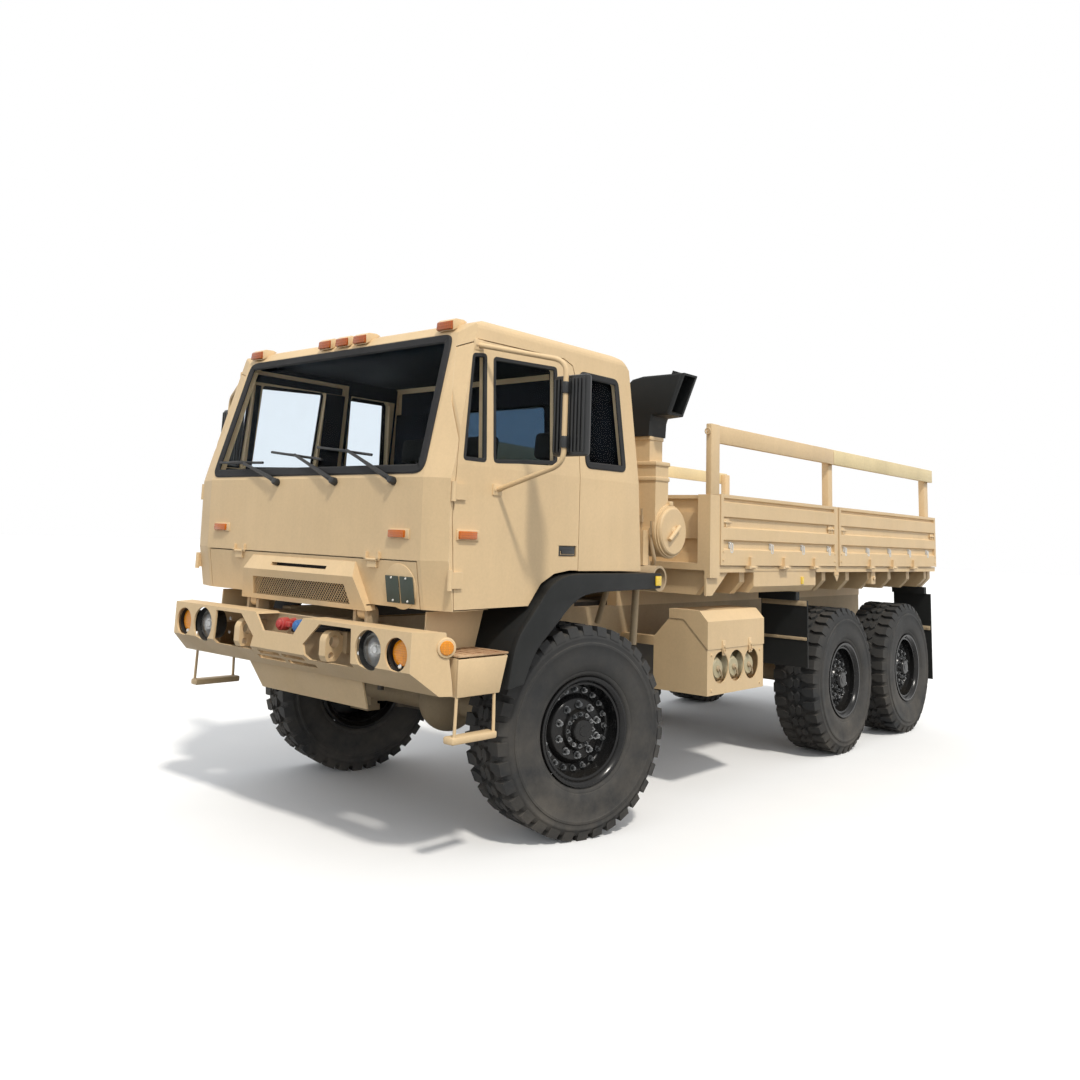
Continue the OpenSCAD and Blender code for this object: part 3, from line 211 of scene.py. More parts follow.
def coated(name, colour, rough, worn=(0.5, 0.45, 0.38, 1), wear=0.4, dust=0.35, mottled=0.06, streaks=0.03,
           grain=260.0, bump=0.12, dust_colour=(0.52, 0.42, 0.28, 1), dust_height=1.2, metallic=0.0, coat=0.0,
           shine=0.5):
    """A painted, moulded or cast finish with its wear, dust and grain."""
    material, tree, shader = new_material(name)
    varied = use_group(tree, MOTTLE, {"Color": colour, "Amount": mottled, "Streaks": streaks})["Color"]
    edge = use_group(tree, EDGE_WEAR, {"Radius": 0.006, "Amount": wear})["Mask"]
    rubbed = blend_colour(tree, edge, varied, worn)
    dusty = use_group(tree, DUST,
                      {"Color": rubbed, "Dust": dust_colour, "Amount": dust, "Height": dust_height})
    tree.links.new(dusty["Color"], shader.inputs["Base Color"])
    dull = spread(tree, noise(tree, 4.0, 6.0), 0.3, 0.7, rough - 0.07, rough + 0.07)
    tree.links.new(maths(tree, "ADD", dull, maths(tree, "MULTIPLY", dusty["Mask"], 0.25), True),
                   shader.inputs["Roughness"])
    shader.inputs["Metallic"].default_value = metallic
    shader.inputs["Coat Weight"].default_value = coat
    shader.inputs["Specular IOR Level"].default_value = shine
    height = use_group(tree, GRAIN, {"Scale": grain, "Waves": 0.4})["Height"]
    set_bump(tree, shader, height, bump, 0.002)
    return material


def make_glass(name, tint, bend=1.45):
    """Clear or tinted glass with a faint dirty film."""
    material, tree, shader = new_material(name)
    film = spread(tree, noise(tree, 2.4, 7.0, 0.7), 0.45, 0.8, 0.0, 0.05)
    dirt = (0.30, 0.29, 0.26, 1)
    tree.links.new(blend_colour(tree, film, tint, dirt), shader.inputs["Base Color"])
    tree.links.new(spread(tree, film, 0.0, 0.05, 0.0, 0.02), shader.inputs["Roughness"])
    shader.inputs["Transmission Weight"].default_value = 1.0
    shader.inputs["IOR"].default_value = bend
    return material


def make_lens(name, colour, cell):
    """A moulded lamp lens with a grid of small prisms, painted shade in the creases between them and a faint
    painted glow.
    """
    material, tree, shader = new_material(name)
    place = add_node(tree, "ShaderNodeTexCoord").outputs["Object"]
    prisms = add_node(tree, "ShaderNodeTexVoronoi", {"Vector": place, "Scale": 1 / cell, "Randomness": 0.0})
    deep = spread(tree, prisms.outputs["Distance"], 0.0, 0.6)
    # Painted shade: the colour darkens towards each prism's edge, in the creases between the prisms.
    shade = tuple(0.7 * c for c in colour[:3]) + (1,)
    tree.links.new(blend_colour(tree, deep, colour, shade), shader.inputs["Base Color"])
    tree.links.new(spread(tree, noise(tree, 30.0), 0.3, 0.7, 0.08, 0.2), shader.inputs["Roughness"])
    shader.inputs["Subsurface Weight"].default_value = 0.25
    shader.inputs["Subsurface Radius"].default_value = (0.02, 0.01, 0.004)
    shader.inputs["Coat Weight"].default_value = 0.2
    # Painted glow: the unlit lens, and the reflector made with it, shines faintly in its own colour.
    shader.inputs["Emission Color"].default_value = colour
    shader.inputs["Emission Strength"].default_value = 0.1
    set_bump(tree, shader, deep, 0.5, 0.003)
    return material


def make_cloth(name, colour):
    """Woven seat cover."""
    material, tree, shader = new_material(name)
    place = add_node(tree, "ShaderNodeTexCoord").outputs["Object"]
    warp = add_node(tree, "ShaderNodeTexWave", {"Vector": place, "Scale": 190.0, "Distortion": 0.6},
                    bands_direction="Y").outputs["Fac"]
    weft = add_node(tree, "ShaderNodeTexWave", {"Vector": place, "Scale": 190.0, "Distortion": 0.6},
                    bands_direction="DIAGONAL").outputs["Fac"]
    weave = maths(tree, "MULTIPLY", warp, weft)
    varied = use_group(tree, MOTTLE, {"Color": colour, "Amount": 0.14, "Streaks": 0.0})["Color"]
    dark = tuple(0.5 * c for c in colour[:3]) + (1,)
    tree.links.new(blend_colour(tree, spread(tree, weave, 0.6, 0.0), varied, dark),
                   shader.inputs["Base Color"])
    tree.links.new(spread(tree, weave, 0.0, 1.0, 0.95, 0.8), shader.inputs["Roughness"])
    shader.inputs["Sheen Weight"].default_value = 0.05
    shader.inputs["Specular IOR Level"].default_value = 0.1
    set_bump(tree, shader, weave, 0.4, 0.001)
    return material


def make_rubber(name, colour, dust):
    """Tyre or seal rubber, rubbed at its edges and dusty below."""
    return coated(name, colour, 0.74, worn=(0.085, 0.08, 0.072, 1), wear=0.7, dust=dust, mottled=0.16,
                  streaks=0.0, grain=420.0, bump=0.28, dust_colour=(0.16, 0.14, 0.115, 1), dust_height=1.25,
                  shine=0.35)


TAN = coated("desert_tan_paint", (0.68, 0.495, 0.280, 1), 0.56, worn=(0.76, 0.62, 0.42, 1), wear=0.45,
             dust=0.16)
FADED_TAN = coated("faded_tan_paint", (0.72, 0.585, 0.335, 1), 0.6, worn=(0.78, 0.68, 0.5, 1), dust=0.1,
                   mottled=0.1)
OLIVE_TAN = coated("tank_paint", (0.46, 0.40, 0.25, 1), 0.5, dust=0.3)
UNDER_TAN = coated("chassis_paint", (0.44, 0.33, 0.2, 1), 0.66, worn=(0.3, 0.2, 0.13, 1), dust=0.6,
                   mottled=0.12)
RUSTY_TAN = coated("rusted_step_paint", (0.55, 0.38, 0.22, 1), 0.75, worn=(0.22, 0.09, 0.035, 1), wear=1.0,
                   dust=0.75, mottled=0.3, dust_colour=(0.27, 0.12, 0.05, 1), dust_height=4.0, bump=0.3)
RIM_BLACK = coated("black_wheel_paint", (0.006, 0.0065, 0.0075, 1), 0.24, worn=(0.03, 0.03, 0.03, 1),
                   wear=0.2, dust=0.02, mottled=0.1, bump=0.05, shine=0.3)
WHEEL_BOLT = coated("wheel_bolt_steel", (0.10, 0.105, 0.11, 1), 0.3, worn=(0.5, 0.5, 0.5, 1), wear=0.8,
                    dust=0.02, metallic=0.8, bump=0.05)
BLACK_PAINT = coated("black_satin_paint", (0.016, 0.017, 0.018, 1), 0.45, worn=(0.06, 0.06, 0.06, 1),
                     dust=0.1)
RUBBER = make_rubber("tyre_rubber", (0.026, 0.027, 0.028, 1), 0.55)
SEAL = make_rubber("seal_rubber", (0.016, 0.016, 0.017, 1), 0.12)
FLARE = coated("flare_rubber", (0.013, 0.014, 0.014, 1), 0.6, worn=(0.035, 0.035, 0.035, 1), wear=0.4,
               dust=0.08, dust_colour=(0.2, 0.17, 0.13, 1), grain=380.0, bump=0.2, shine=0.25)
STEEL = coated("dark_running_gear", (0.07, 0.064, 0.056, 1), 0.55, worn=(0.24, 0.22, 0.2, 1), wear=0.6,
               dust=0.7, dust_colour=(0.3, 0.23, 0.15, 1), metallic=0.3, grain=150.0, bump=0.3)
BRIGHT = coated("bright_steel", (0.62, 0.61, 0.58, 1), 0.3, worn=(0.8, 0.8, 0.8, 1), dust=0.2, metallic=1.0,
                bump=0.05)
MIRROR = coated("mirror_silver", (0.86, 0.87, 0.88, 1), 0.09, wear=0.0, dust=0.02, mottled=0.01, bump=0.0,
                metallic=1.0)
# Near-black, bluish cab plastic: dark plastic, and painted shade for the inside of the cab.
SHADED_PLASTIC = coated("cabin_plastic", (0.008, 0.012, 0.018, 1), 0.7, worn=(0.03, 0.03, 0.03, 1), dust=0.02,
                 grain=520.0, bump=0.3, shine=0.06)
GLASS = make_glass("tinted_glass", (0.88, 0.93, 0.97, 1), 1.06)
# Dark glass for the back window: painted shade that keeps the cab dark behind the windshield.
DARK_GLASS = make_glass("back_window_painted_shade", (0.05, 0.09, 0.14, 1), 1.06)
LAMP_GLASS = make_glass("headlamp_glass", (0.95, 0.97, 1.0, 1))
AMBER = make_lens("amber_lens", (0.60, 0.135, 0.001, 1), 0.011)
TURN_AMBER = make_lens("turn_lamp_lens", (0.86, 0.30, 0.002, 1), 0.011)
ROOF_AMBER = make_lens("roof_amber_lens", (0.44, 0.085, 0.001, 1), 0.016)
RED_LENS = make_lens("red_lens", (0.50, 0.012, 0.01, 1), 0.012)
YELLOW = make_lens("yellow_reflector", (0.92, 0.62, 0.03, 1), 0.01)
CLOTH = make_cloth("seat_cloth", (0.030, 0.034, 0.034, 1))
RED_PAINT = coated("red_coupling_paint", (0.42, 0.03, 0.03, 1), 0.5, dust=0.4, mottled=0.2)
BLUE_PAINT = coated("blue_coupling_paint", (0.025, 0.13, 0.36, 1), 0.5, dust=0.3, mottled=0.2)
BLANK_SIGN = coated("blank_sign_paint", (0.035, 0.048, 0.036, 1), 0.6, worn=(0.2, 0.2, 0.18, 1), dust=0.25)

NODE_FINISH = {
    TAN: ("front_bumper", "tow_hooks", "cab_steps", "air_intake", "battery_box", "battery_lid", "fuel_tank",
          "toolbox", "bed_deck", "headboard", "side_racks", "dropside_front_left", "dropside_front_right",
          "dropside_rear_left", "dropside_rear_right", "tailgate", "cab_shell", "grille_panel", "door_left",
          "door_right"),
    UNDER_TAN: ("frame_rails", "crossmembers", "cab_mounts", "front_axle", "tandem_axles", "knuckle_left",
                "knuckle_right"),
    STEEL: ("engine_block", "leaf_springs", "driveline", "tie_rod"),
    OLIVE_TAN: ("air_tanks",),
    FLARE: ("fender_flares", "intake_hood", "mudflaps"),
    GLASS: ("cab_glass", "door_left_glass", "door_right_glass"),
    SHADED_PLASTIC: ("dashboard", "steering_wheel", "seats"),
    BLACK_PAINT: ("mirror_left", "mirror_right"),
    ROOF_AMBER: ("cab_lamps", "door_left_lamp", "door_right_lamp"),
    AMBER: ("bumper_lamps",),
    RED_LENS: ("tail_lamps",),
}
for finish, members in NODE_FINISH.items():
    for member in members:
        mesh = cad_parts[member].data
        mesh.materials.clear()
        mesh.materials.append(finish)


# Mesh helpers


def bevelled(bm, edges, width, segments=2):
    bmesh.ops.bevel(bm, geom=list(edges), offset=width, offset_type="OFFSET", segments=segments, profile=0.5,
                    affect="EDGES", clamp_overlap=True, material=-1)


def slab(bm, low, high, bevel=0.003, turn=None, about=None):
    """A block between two corners with softened edges, turned about a point where asked."""
    low, high = Vector(low), Vector(high)
    place = Matrix.LocRotScale((low + high) / 2, None, high - low)
    if turn is not None:
        pivot = Matrix.Translation(about or (low + high) / 2)
        place = pivot @ turn.to_4x4() @ pivot.inverted() @ place
    made = bmesh.ops.create_cube(bm, size=1, matrix=place)["verts"]
    if bevel:
        bevelled(bm, {edge for vert in made for edge in vert.link_edges}, bevel)


def drum(bm, start, end, radius, end_radius=None, sides=24, bevel=0.0):
    """A round bar or cone between two points."""
    start, end = Vector(start), Vector(end)
    along = end - start
    place = Matrix.Translation((start + end) / 2) @ along.to_track_quat("Z", "Y").to_matrix().to_4x4()
    made = bmesh.ops.create_cone(bm, cap_ends=True, segments=sides, radius1=radius,
                                 radius2=radius if end_radius is None else end_radius, depth=along.length,
                                 matrix=place)
    if bevel:
        caps = {edge for vert in made["verts"] for edge in vert.link_edges if edge.is_boundary is False
                and any(len(face.verts) == sides for face in edge.link_faces)}
        bevelled(bm, caps, bevel)


def plate(bm, outline, thick, bevel=0.0):
    """A flat sheet: its outline as points in the frame, made solid along a vector."""
    face = bm.faces.new([bm.verts.new(point) for point in outline])
    made = bmesh.ops.extrude_face_region(bm, geom=[face])["geom"]
    moved = [item for item in made if isinstance(item, bmesh.types.BMVert)]
    bmesh.ops.translate(bm, verts=moved, vec=Vector(thick))
    if bevel:
        bevelled(bm, {edge for vert in list(face.verts) + moved for edge in vert.link_edges}, bevel)


def ring_frame(bm, outline, width, thick):
    """A flat rim along the inside of an outline, such as a window seal, with eased lips."""
    outline, thick = [Vector(point) for point in outline], Vector(thick)
    centre = sum(outline, Vector()) / len(outline)
    rings = []
    for index, point in enumerate(outline):
        along = (outline[(index + 1) % len(outline)] - outline[index - 1]).normalized()
        inward = along.cross(thick).normalized()
        inward *= 1 if inward.dot(centre - point) > 0 else -1
        section = ((0, 0), (0, 0.6), (0.15, 1), (0.85, 1), (1, 0.6), (1, 0))
        rings.append([bm.verts.new(point + inward * width * share + thick * rise) for share, rise in section])
    for ring, follower in zip(rings, rings[1:] + rings[:1]):
        for index in range(len(ring)):
            after = (index + 1) % len(ring)
            bm.faces.new((ring[index], ring[after], follower[after], follower[index]))


def lathe(bm, profile, steps=48):
    """A profile of radius and distance along Y, turned about the Y axis."""
    verts = [bm.verts.new((0, along, radius)) for radius, along in profile]
    edges = [bm.edges.new(pair) for pair in zip(verts, verts[1:])]
    bmesh.ops.spin(bm, geom=verts + edges, cent=(0, 0, 0), axis=Y, angle=math.tau, steps=steps,
                   use_merge=True)
    bmesh.ops.remove_doubles(bm, verts=bm.verts[:], dist=1e-5)


def rounded(points, radius, steps=5):
    """A route of points with its corners rounded."""
    points = [Vector(point) for point in points]
    route = [points[0]]
    for before, corner, after in zip(points, points[1:], points[2:]):
        start = corner + (before - corner).normalized() * min(radius, (before - corner).length / 2)
        end = corner + (after - corner).normalized() * min(radius, (after - corner).length / 2)
        for step in range(steps + 1):
            t = step / steps
            route.append((1 - t) ** 2 * start + 2 * t * (1 - t) * corner + t * t * end)
    return route + [points[-1]]


def tube(bm, points, radius, closed=False, sides=3):
    """A round tube along a route."""
    curve = bpy.data.curves.new("route", "CURVE")
    curve.dimensions, curve.use_fill_caps = "3D", True
    curve.bevel_depth, curve.bevel_resolution = radius, sides
    spline = curve.splines.new("POLY")
    spline.points.add(len(points) - 1)
    for place, point in zip(spline.points, points):
        place.co = (*point, 1)
    spline.use_cyclic_u = closed
    holder = bpy.data.objects.new("route", curve)
    mesh = bpy.data.meshes.new_from_object(holder)
    bm.from_mesh(mesh)
    bpy.data.objects.remove(holder)
    bpy.data.meshes.remove(mesh)
    bpy.data.curves.remove(curve)


def hex_bolts(bm, places, direction, radius, height):
    for place in places:
        drum(bm, place, Vector(place) + Vector(direction) * height, radius, radius * 0.92, sides=6)


def put(bm, name, body, materials, replaces=(), keep_angle=34, place=None):
    """Makes a bmesh a finished piece of the truck that rides on a body."""
    if place is not None:
        bmesh.ops.transform(bm, matrix=place, verts=bm.verts[:])
    bmesh.ops.recalc_face_normals(bm, faces=bm.faces[:])
    for face in bm.faces:
        face.smooth = True
    for edge in bm.edges:
        edge.smooth = edge.is_manifold and edge.calc_face_angle(0) < math.radians(keep_angle)
    mesh = bpy.data.meshes.new(name)
    bm.to_mesh(mesh)
    bm.free()
    for material in materials if isinstance(materials, (list, tuple)) else [materials]:
        mesh.materials.append(material)
    piece = bpy.data.objects.new(name, mesh)
    scene.collection.objects.link(piece)
    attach(piece, body)
    if replaces:
        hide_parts(*replaces)
    return piece


# Wheels, each built about the Y axis with its outer side towards +Y

TYRE_R = 0.580
TYRE_SIDEWALL = ((0.302, 0.164), (0.310, 0.174), (0.322, 0.181), (0.330, 0.181), (0.336, 0.187),
                 (0.375, 0.194), (0.425, 0.197), (0.470, 0.195), (0.474, 0.198), (0.486, 0.197),
                 (0.490, 0.192), (0.506, 0.189), (0.510, 0.191), (0.520, 0.189), (0.526, 0.184),
                 (0.545, 0.176), (0.553, 0.164), (0.557, 0.08))
LUGS = 34
LUG_TOP, LUG_FOOT, SHOULDER_FOOT = 0.580, 0.552, 0.528
# Outlines of the lugs as distance round the tread and distance out from its middle
SHOULDER_LUG = ((-0.036, 0.174), (0.038, 0.174), (0.041, 0.108), (0.020, 0.064), (-0.020, 0.068),
                (-0.034, 0.106))
MIDDLE_LUG = ((-0.044, 0.026), (-0.024, 0.052), (0.020, 0.048), (0.043, 0.022), (0.022, -0.003),
              (-0.022, 0.001))


def lug(bm, outline, side, shift):
    """One tread lug, standing on the carcass and slightly smaller at its top."""
    foot = []
    for round_by, out in outline:
        shoulder = out > 0.15
        radius = SHOULDER_FOOT if shoulder else LUG_FOOT
        angle = side * (round_by + shift) / TYRE_R
        foot.append(bm.verts.new((math.sin(angle) * radius, side * (out + (0.014 if shoulder else 0)),
                                  math.cos(angle) * radius)))
    face = bm.faces.new(foot)
    made = bmesh.ops.extrude_face_region(bm, geom=[face])["geom"]
    bmesh.ops.delete(bm, geom=[face], context="FACES_ONLY")
    tops = [item for item in made if isinstance(item, bmesh.types.BMVert)]
    middle = sum((vert.co for vert in tops), Vector()) / len(tops)
    for vert in tops:
        level = math.hypot(vert.co.x, vert.co.z)
        out = min(abs(vert.co.y), 0.172) * side
        vert.co = Vector((vert.co.x * LUG_TOP / level, out, vert.co.z * LUG_TOP / level))
        vert.co += (Vector((middle.x, middle.y, middle.z)) * LUG_TOP / LUG_FOOT - vert.co) * 0.08
        vert.co.xz = vert.co.xz.normalized() * LUG_TOP


def build_tyre():
    bm = bmesh.new()
    pitch = math.tau * TYRE_R / LUGS
    for side in (1, -1):
        lug(bm, SHOULDER_LUG, side, 0)
        lug(bm, MIDDLE_LUG, side, pitch / 2)
    bmesh.ops.spin(bm, geom=bm.verts[:] + bm.edges[:] + bm.faces[:], cent=(0, 0, 0), axis=Y,
                   angle=math.tau * (LUGS - 1) / LUGS, steps=LUGS - 1, use_duplicate=True)
    half = list(TYRE_SIDEWALL)
    lathe(bm, half + [(radius, -out) for radius, out in reversed(half)], 84)
    return bm


RIM_FACE = ((0.286, 0.165), (0.299, 0.166), (0.300, 0.174), (0.297, 0.180), (0.284, 0.180), (0.272, 0.171),
            (0.262, 0.150), (0.253, 0.118), (0.246, 0.084), (0.240, 0.068), (0.232, 0.062), (0.200, 0.062),
            (0.193, 0.064), (0.187, 0.074), (0.172, 0.094), (0.160, 0.100), (0.118, 0.100), (0.112, 0.104),
            (0.106, 0.118), (0.100, 0.126), (0.074, 0.126), (0.070, 0.130), (0.066, 0.152), (0.058, 0.161),
            (0.030, 0.162), (0.028, 0.165), (0.0, 0.165))
RIM_BACK = ((0.290, 0.160), (0.252, 0.150), (0.252, -0.150), (0.290, -0.165), (0.299, -0.168),
            (0.299, -0.178), (0.284, -0.180), (0.262, -0.160), (0.240, -0.110), (0.238, 0.030),
            (0.232, 0.040), (0.130, 0.040), (0.122, 0.030), (0.118, -0.098), (0.062, -0.098), (0.062, 0.030))
# Bolt circles as count, circle radius, face they stand on, head radius and head height
BOLT_CIRCLES = ((20, 0.216, 0.062, 0.0125, 0.020), (10, 0.139, 0.100, 0.0155, 0.024),
                (12, 0.087, 0.126, 0.009, 0.011))


def build_rim():
    bm = bmesh.new()
    lathe(bm, RIM_FACE, 64)
    lathe(bm, RIM_BACK, 64)
    return bm


def build_wheel_bolts():
    bm = bmesh.new()
    for count, circle, face, radius, height in BOLT_CIRCLES:
        for index in range(count):
            angle = math.tau * index / count
            place = Vector((math.sin(angle) * circle, face, math.cos(angle) * circle))
            drum(bm, place, place + Y * 0.004, radius * 1.35, sides=12)
            hex_bolts(bm, [place + Y * 0.003], Y, radius, height)
            drum(bm, place + Y * height, place + Y * (height + 0.009), radius * 0.55, sides=8)
    return bm


def place_wheels():
    for end in ("front", "middle", "rear"):
        for side, sign in SIDES:
            low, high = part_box(f"tyre_{end}_{side}")
            turn = (WHEEL_TURN if end == "front" else 0.0) + (0.0 if sign > 0 else math.pi)
            place = Matrix.Translation((low + high) / 2) @ Matrix.Rotation(turn, 4, "Z")
            body = f"wheel_{end}_{side}"
            put(build_tyre(), f"tyre_tread_{end}_{side}", body, RUBBER, [f"tyre_{end}_{side}"],
                40, place)
            put(build_rim(), f"bolted_rim_{end}_{side}", body, RIM_BLACK,
                [f"rim_{end}_{side}"], 34, place)
            put(build_wheel_bolts(), f"wheel_bolts_{end}_{side}", body, WHEEL_BOLT, place=place)


place_wheels()


# Panels and planes of the cab

SCREEN_FOOT, SCREEN_HEAD = (1.237, 1.930), (1.030, 2.722)
BELT, SIDE_LEAN = 2.000, 0.0791
SCREEN_LEAN = (SCREEN_FOOT[0] - SCREEN_HEAD[0]) / (SCREEN_HEAD[1] - SCREEN_FOOT[1])


def on_screen(y, z, out=0.0):
    """A point on the windshield's plane, moved out from it."""
    normal = Vector((1, 0, SCREEN_LEAN)).normalized()
    return Vector((ahead(SCREEN_FOOT[0] - SCREEN_LEAN * (z - SCREEN_FOOT[1])), y, z)) + normal * out


def on_side(x, z, out=0.0, sign=1):
    """A point on the cab's side, which leans in above the belt line."""
    lean = SIDE_LEAN if z > BELT else 0.0
    normal = Vector((0, sign, lean)).normalized()
    return Vector((ahead(x), sign * (CAB_SIDE - lean * (z - BELT)), z)) + normal * out


def loop(points, radius, steps=5):
    """A closed outline with every corner rounded."""
    points = [Vector(point) for point in points]
    ring = rounded([(points[-1] + points[0]) / 2] + points + [(points[-1] + points[0]) / 2], radius, steps)
    return ring[:-1]


SCREEN_SEAL = ((-0.945, 1.948), (0.945, 1.948), (0.982, 1.985), (0.950, 2.685), (0.915, 2.714),
               (-0.915, 2.714), (-0.950, 2.685), (-0.982, 1.985))
DOOR_PANE = ((0.352, 2.058), (0.872, 2.022), (0.890, 2.04), (0.876, 2.604), (0.335, 2.630), (0.327, 2.60))
VENT_PANE = ((0.938, 2.020), (1.118, 2.020), (1.035, 2.600), (0.920, 2.612))
QUARTER_PANE = ((-0.318, 2.062), (0.090, 2.058), (0.120, 2.638), (-0.272, 2.640))
# Wiper arms as base Y, elbow and the two ends of the blade, each in Y and Z
WIPERS = ((-0.269, (-0.625, 2.020), (-0.931, 2.040), (-0.458, 2.030)),
          (0.273, (-0.121, 2.062), (-0.396, 2.094), (0.117, 2.037)),
          (0.761, (0.354, 2.075), (0.046, 2.110), (0.548, 2.052)))


def make_windows():
    bm = bmesh.new()
    ring_frame(bm, [on_screen(y, z, -0.004) for _, y, z in loop([(0, *p) for p in SCREEN_SEAL], 0.05)], 0.050,
               on_screen(0, 2, 0.014) - on_screen(0, 2))
    put(bm, "windshield_seal", "cab", SEAL)
    for side, sign in SIDES:
        bm = bmesh.new()
        outline = loop([(x, 0, z) for x, z in QUARTER_PANE], 0.05)
        ring_frame(bm, [on_side(x, z, -0.004, sign) for x, _, z in outline], 0.040, (0, sign * 0.012, 0.001))
        put(bm, f"quarter_seal_{side}", "cab", SEAL)
        bm = bmesh.new()
        for pane in (DOOR_PANE, VENT_PANE):
            outline = loop([(x, 0, z) for x, z in pane], 0.03)
            ring_frame(bm, [on_side(x, z, -0.012, sign) for x, _, z in outline], 0.024,
                       (0, sign * 0.014, 0.001))
        put(bm, f"door_seals_{side}", f"door_{side}", SEAL)


def make_wipers():
    bm = bmesh.new()
    for base, elbow, start, end in WIPERS:
        foot = on_screen(base, 1.912, 0.012)
        drum(bm, on_screen(base, 1.912, -0.01), on_screen(base, 1.912, 0.03), 0.024, 0.018, bevel=0.004)
        tube(bm, [foot + Z * 0.006, on_screen(base - 0.04, 1.935, 0.03), on_screen(*elbow, 0.035)], 0.009)
        tube(bm, [foot + Z * -0.012, on_screen(base - 0.05, 1.925, 0.022), on_screen(*elbow, 0.028)], 0.006)
        tube(bm, [on_screen(*start, 0.012), on_screen(*end, 0.012)], 0.008)
        middle = [(first + last) / 2 for first, last in zip(start, end)]
        for share in (0.15, 0.38, 0.62, 0.85):
            place = [first + (last - first) * share for first, last in zip(start, end)]
            tube(bm, [on_screen(*middle, 0.034), on_screen(*place, 0.014)], 0.005)
    put(bm, "wipers", "cab", BLACK_PAINT)


ROOF_LAMP_Y = ((-0.885, 0.062), (-0.166, 0.058), (0.0, 0.058), (0.166, 0.058), (0.885, 0.062))
# Sections of a roof lamp as places ahead of the front axle and heights
ROOF_HOUSING = ((0.930, 2.796), (1.036, 2.733), (1.040, 2.790), (1.018, 2.803), (0.960, 2.806))
ROOF_LENS = ((1.034, 2.738), (1.052, 2.742), (1.048, 2.786), (1.034, 2.790))
MARKER_Y, MARKER_Z = (0.745, 0.900), (1.614, 1.665)
FRONT_FACE = 1.2305


def make_roof_lamps():
    """Clearance lamps along the roof's front edge and the two front markers, with their bezels."""
    housings, fronts = bmesh.new(), bmesh.new()
    for middle, half in ROOF_LAMP_Y:
        plate(housings, [(ahead(x), middle - half, z) for x, z in ROOF_HOUSING], (0, 2 * half, 0), 0.004)
        plate(fronts, [(ahead(x), middle - half + 0.004, z) for x, z in ROOF_LENS], (0, 2 * half - 0.008, 0),
              0.004)
    put(housings, "roof_lamp_housings", "cab", TAN, ["cab_lamps"])
    put(fronts, "roof_lamp_lenses", "cab", ROOF_AMBER)
    lenses, bezels = bmesh.new(), bmesh.new()
    for sign in (1, -1):
        near, far = sorted((sign * MARKER_Y[0], sign * MARKER_Y[1]))
        slab(bezels, (ahead(FRONT_FACE - 0.004), near, MARKER_Z[0]),
             (ahead(FRONT_FACE + 0.008), far, MARKER_Z[1]), 0.003)
        slab(lenses, (ahead(FRONT_FACE), near + 0.008, MARKER_Z[0] + 0.006),
             (ahead(FRONT_FACE + 0.022), far - 0.026, MARKER_Z[1] - 0.006), 0.005)
    put(lenses, "front_marker_lenses", "cab", AMBER)
    put(bezels, "front_marker_bezels", "cab", TAN)


make_windows()
make_wipers()
make_roof_lamps()

# Bumper lamps and couplings

LAMP_Z, HEADLAMP_Y, TURN_Y = 1.056, 0.767, 0.979
LAMP_SUNK = 0.022
TURN_TO_X = Matrix.Rotation(-math.pi / 2, 4, "Z")


def facing_ahead(bm, profile, place, steps=40):
    """A turned part about an axis that points forward through a place."""
    part = bmesh.new()
    lathe(part, profile, steps)
    bmesh.ops.transform(part, matrix=Matrix.Translation(place) @ TURN_TO_X, verts=part.verts[:])
    mesh = bpy.data.meshes.new("turned")
    part.to_mesh(mesh)
    part.free()
    bm.from_mesh(mesh)
    bpy.data.meshes.remove(mesh)


def make_bumper_lamps():
    bowls, domes, buckets, ambers = bmesh.new(), bmesh.new(), bmesh.new(), bmesh.new()
    for sign in (1, -1):
        head = Vector((NOSE - LAMP_SUNK, sign * HEADLAMP_Y, LAMP_Z))
        turn = Vector((NOSE - LAMP_SUNK, sign * TURN_Y, LAMP_Z))
        facing_ahead(buckets,
                     ((0.099, -0.002), (0.097, -0.030), (0.092, -0.034), (0.088, -0.030), (0.086, -0.09),
                      (0.0, -0.10)), head)
        facing_ahead(bowls,
                     ((0.086, -0.030), (0.074, -0.052), (0.050, -0.072), (0.022, -0.082), (0.0, -0.084)),
                     head)
        facing_ahead(bowls, ((0.020, -0.080), (0.020, -0.050), (0.016, -0.044), (0.0, -0.042)), head, 20)
        facing_ahead(domes,
                     ((0.086, -0.030), (0.080, -0.020), (0.055, -0.010), (0.028, -0.005), (0.0, -0.004),
                      (0.0, -0.007), (0.028, -0.008), (0.055, -0.013), (0.078, -0.023), (0.083, -0.030)),
                     head)
        facing_ahead(buckets,
                     ((0.081, -0.002), (0.079, -0.030), (0.068, -0.034), (0.066, -0.08), (0.0, -0.082)), turn)
        facing_ahead(ambers, ((0.067, -0.032), (0.062, -0.014), (0.040, -0.006), (0.0, -0.004)),
                     turn + Z * 0.006)
        facing_ahead(bowls, ((0.015, -0.03), (0.013, -0.008), (0.008, -0.003), (0.0, -0.002)),
                     turn - Z * 0.058, 20)
    put(buckets, "lamp_buckets", "chassis", BLACK_PAINT, ["bumper_lamps"])
    put(bowls, "lamp_reflectors", "chassis", BRIGHT)
    put(domes, "headlamp_lenses", "chassis", LAMP_GLASS)
    put(ambers, "turn_lamp_lenses", "chassis", TURN_AMBER)


END_LAMP = (1.192, 1.1665, 1.098)


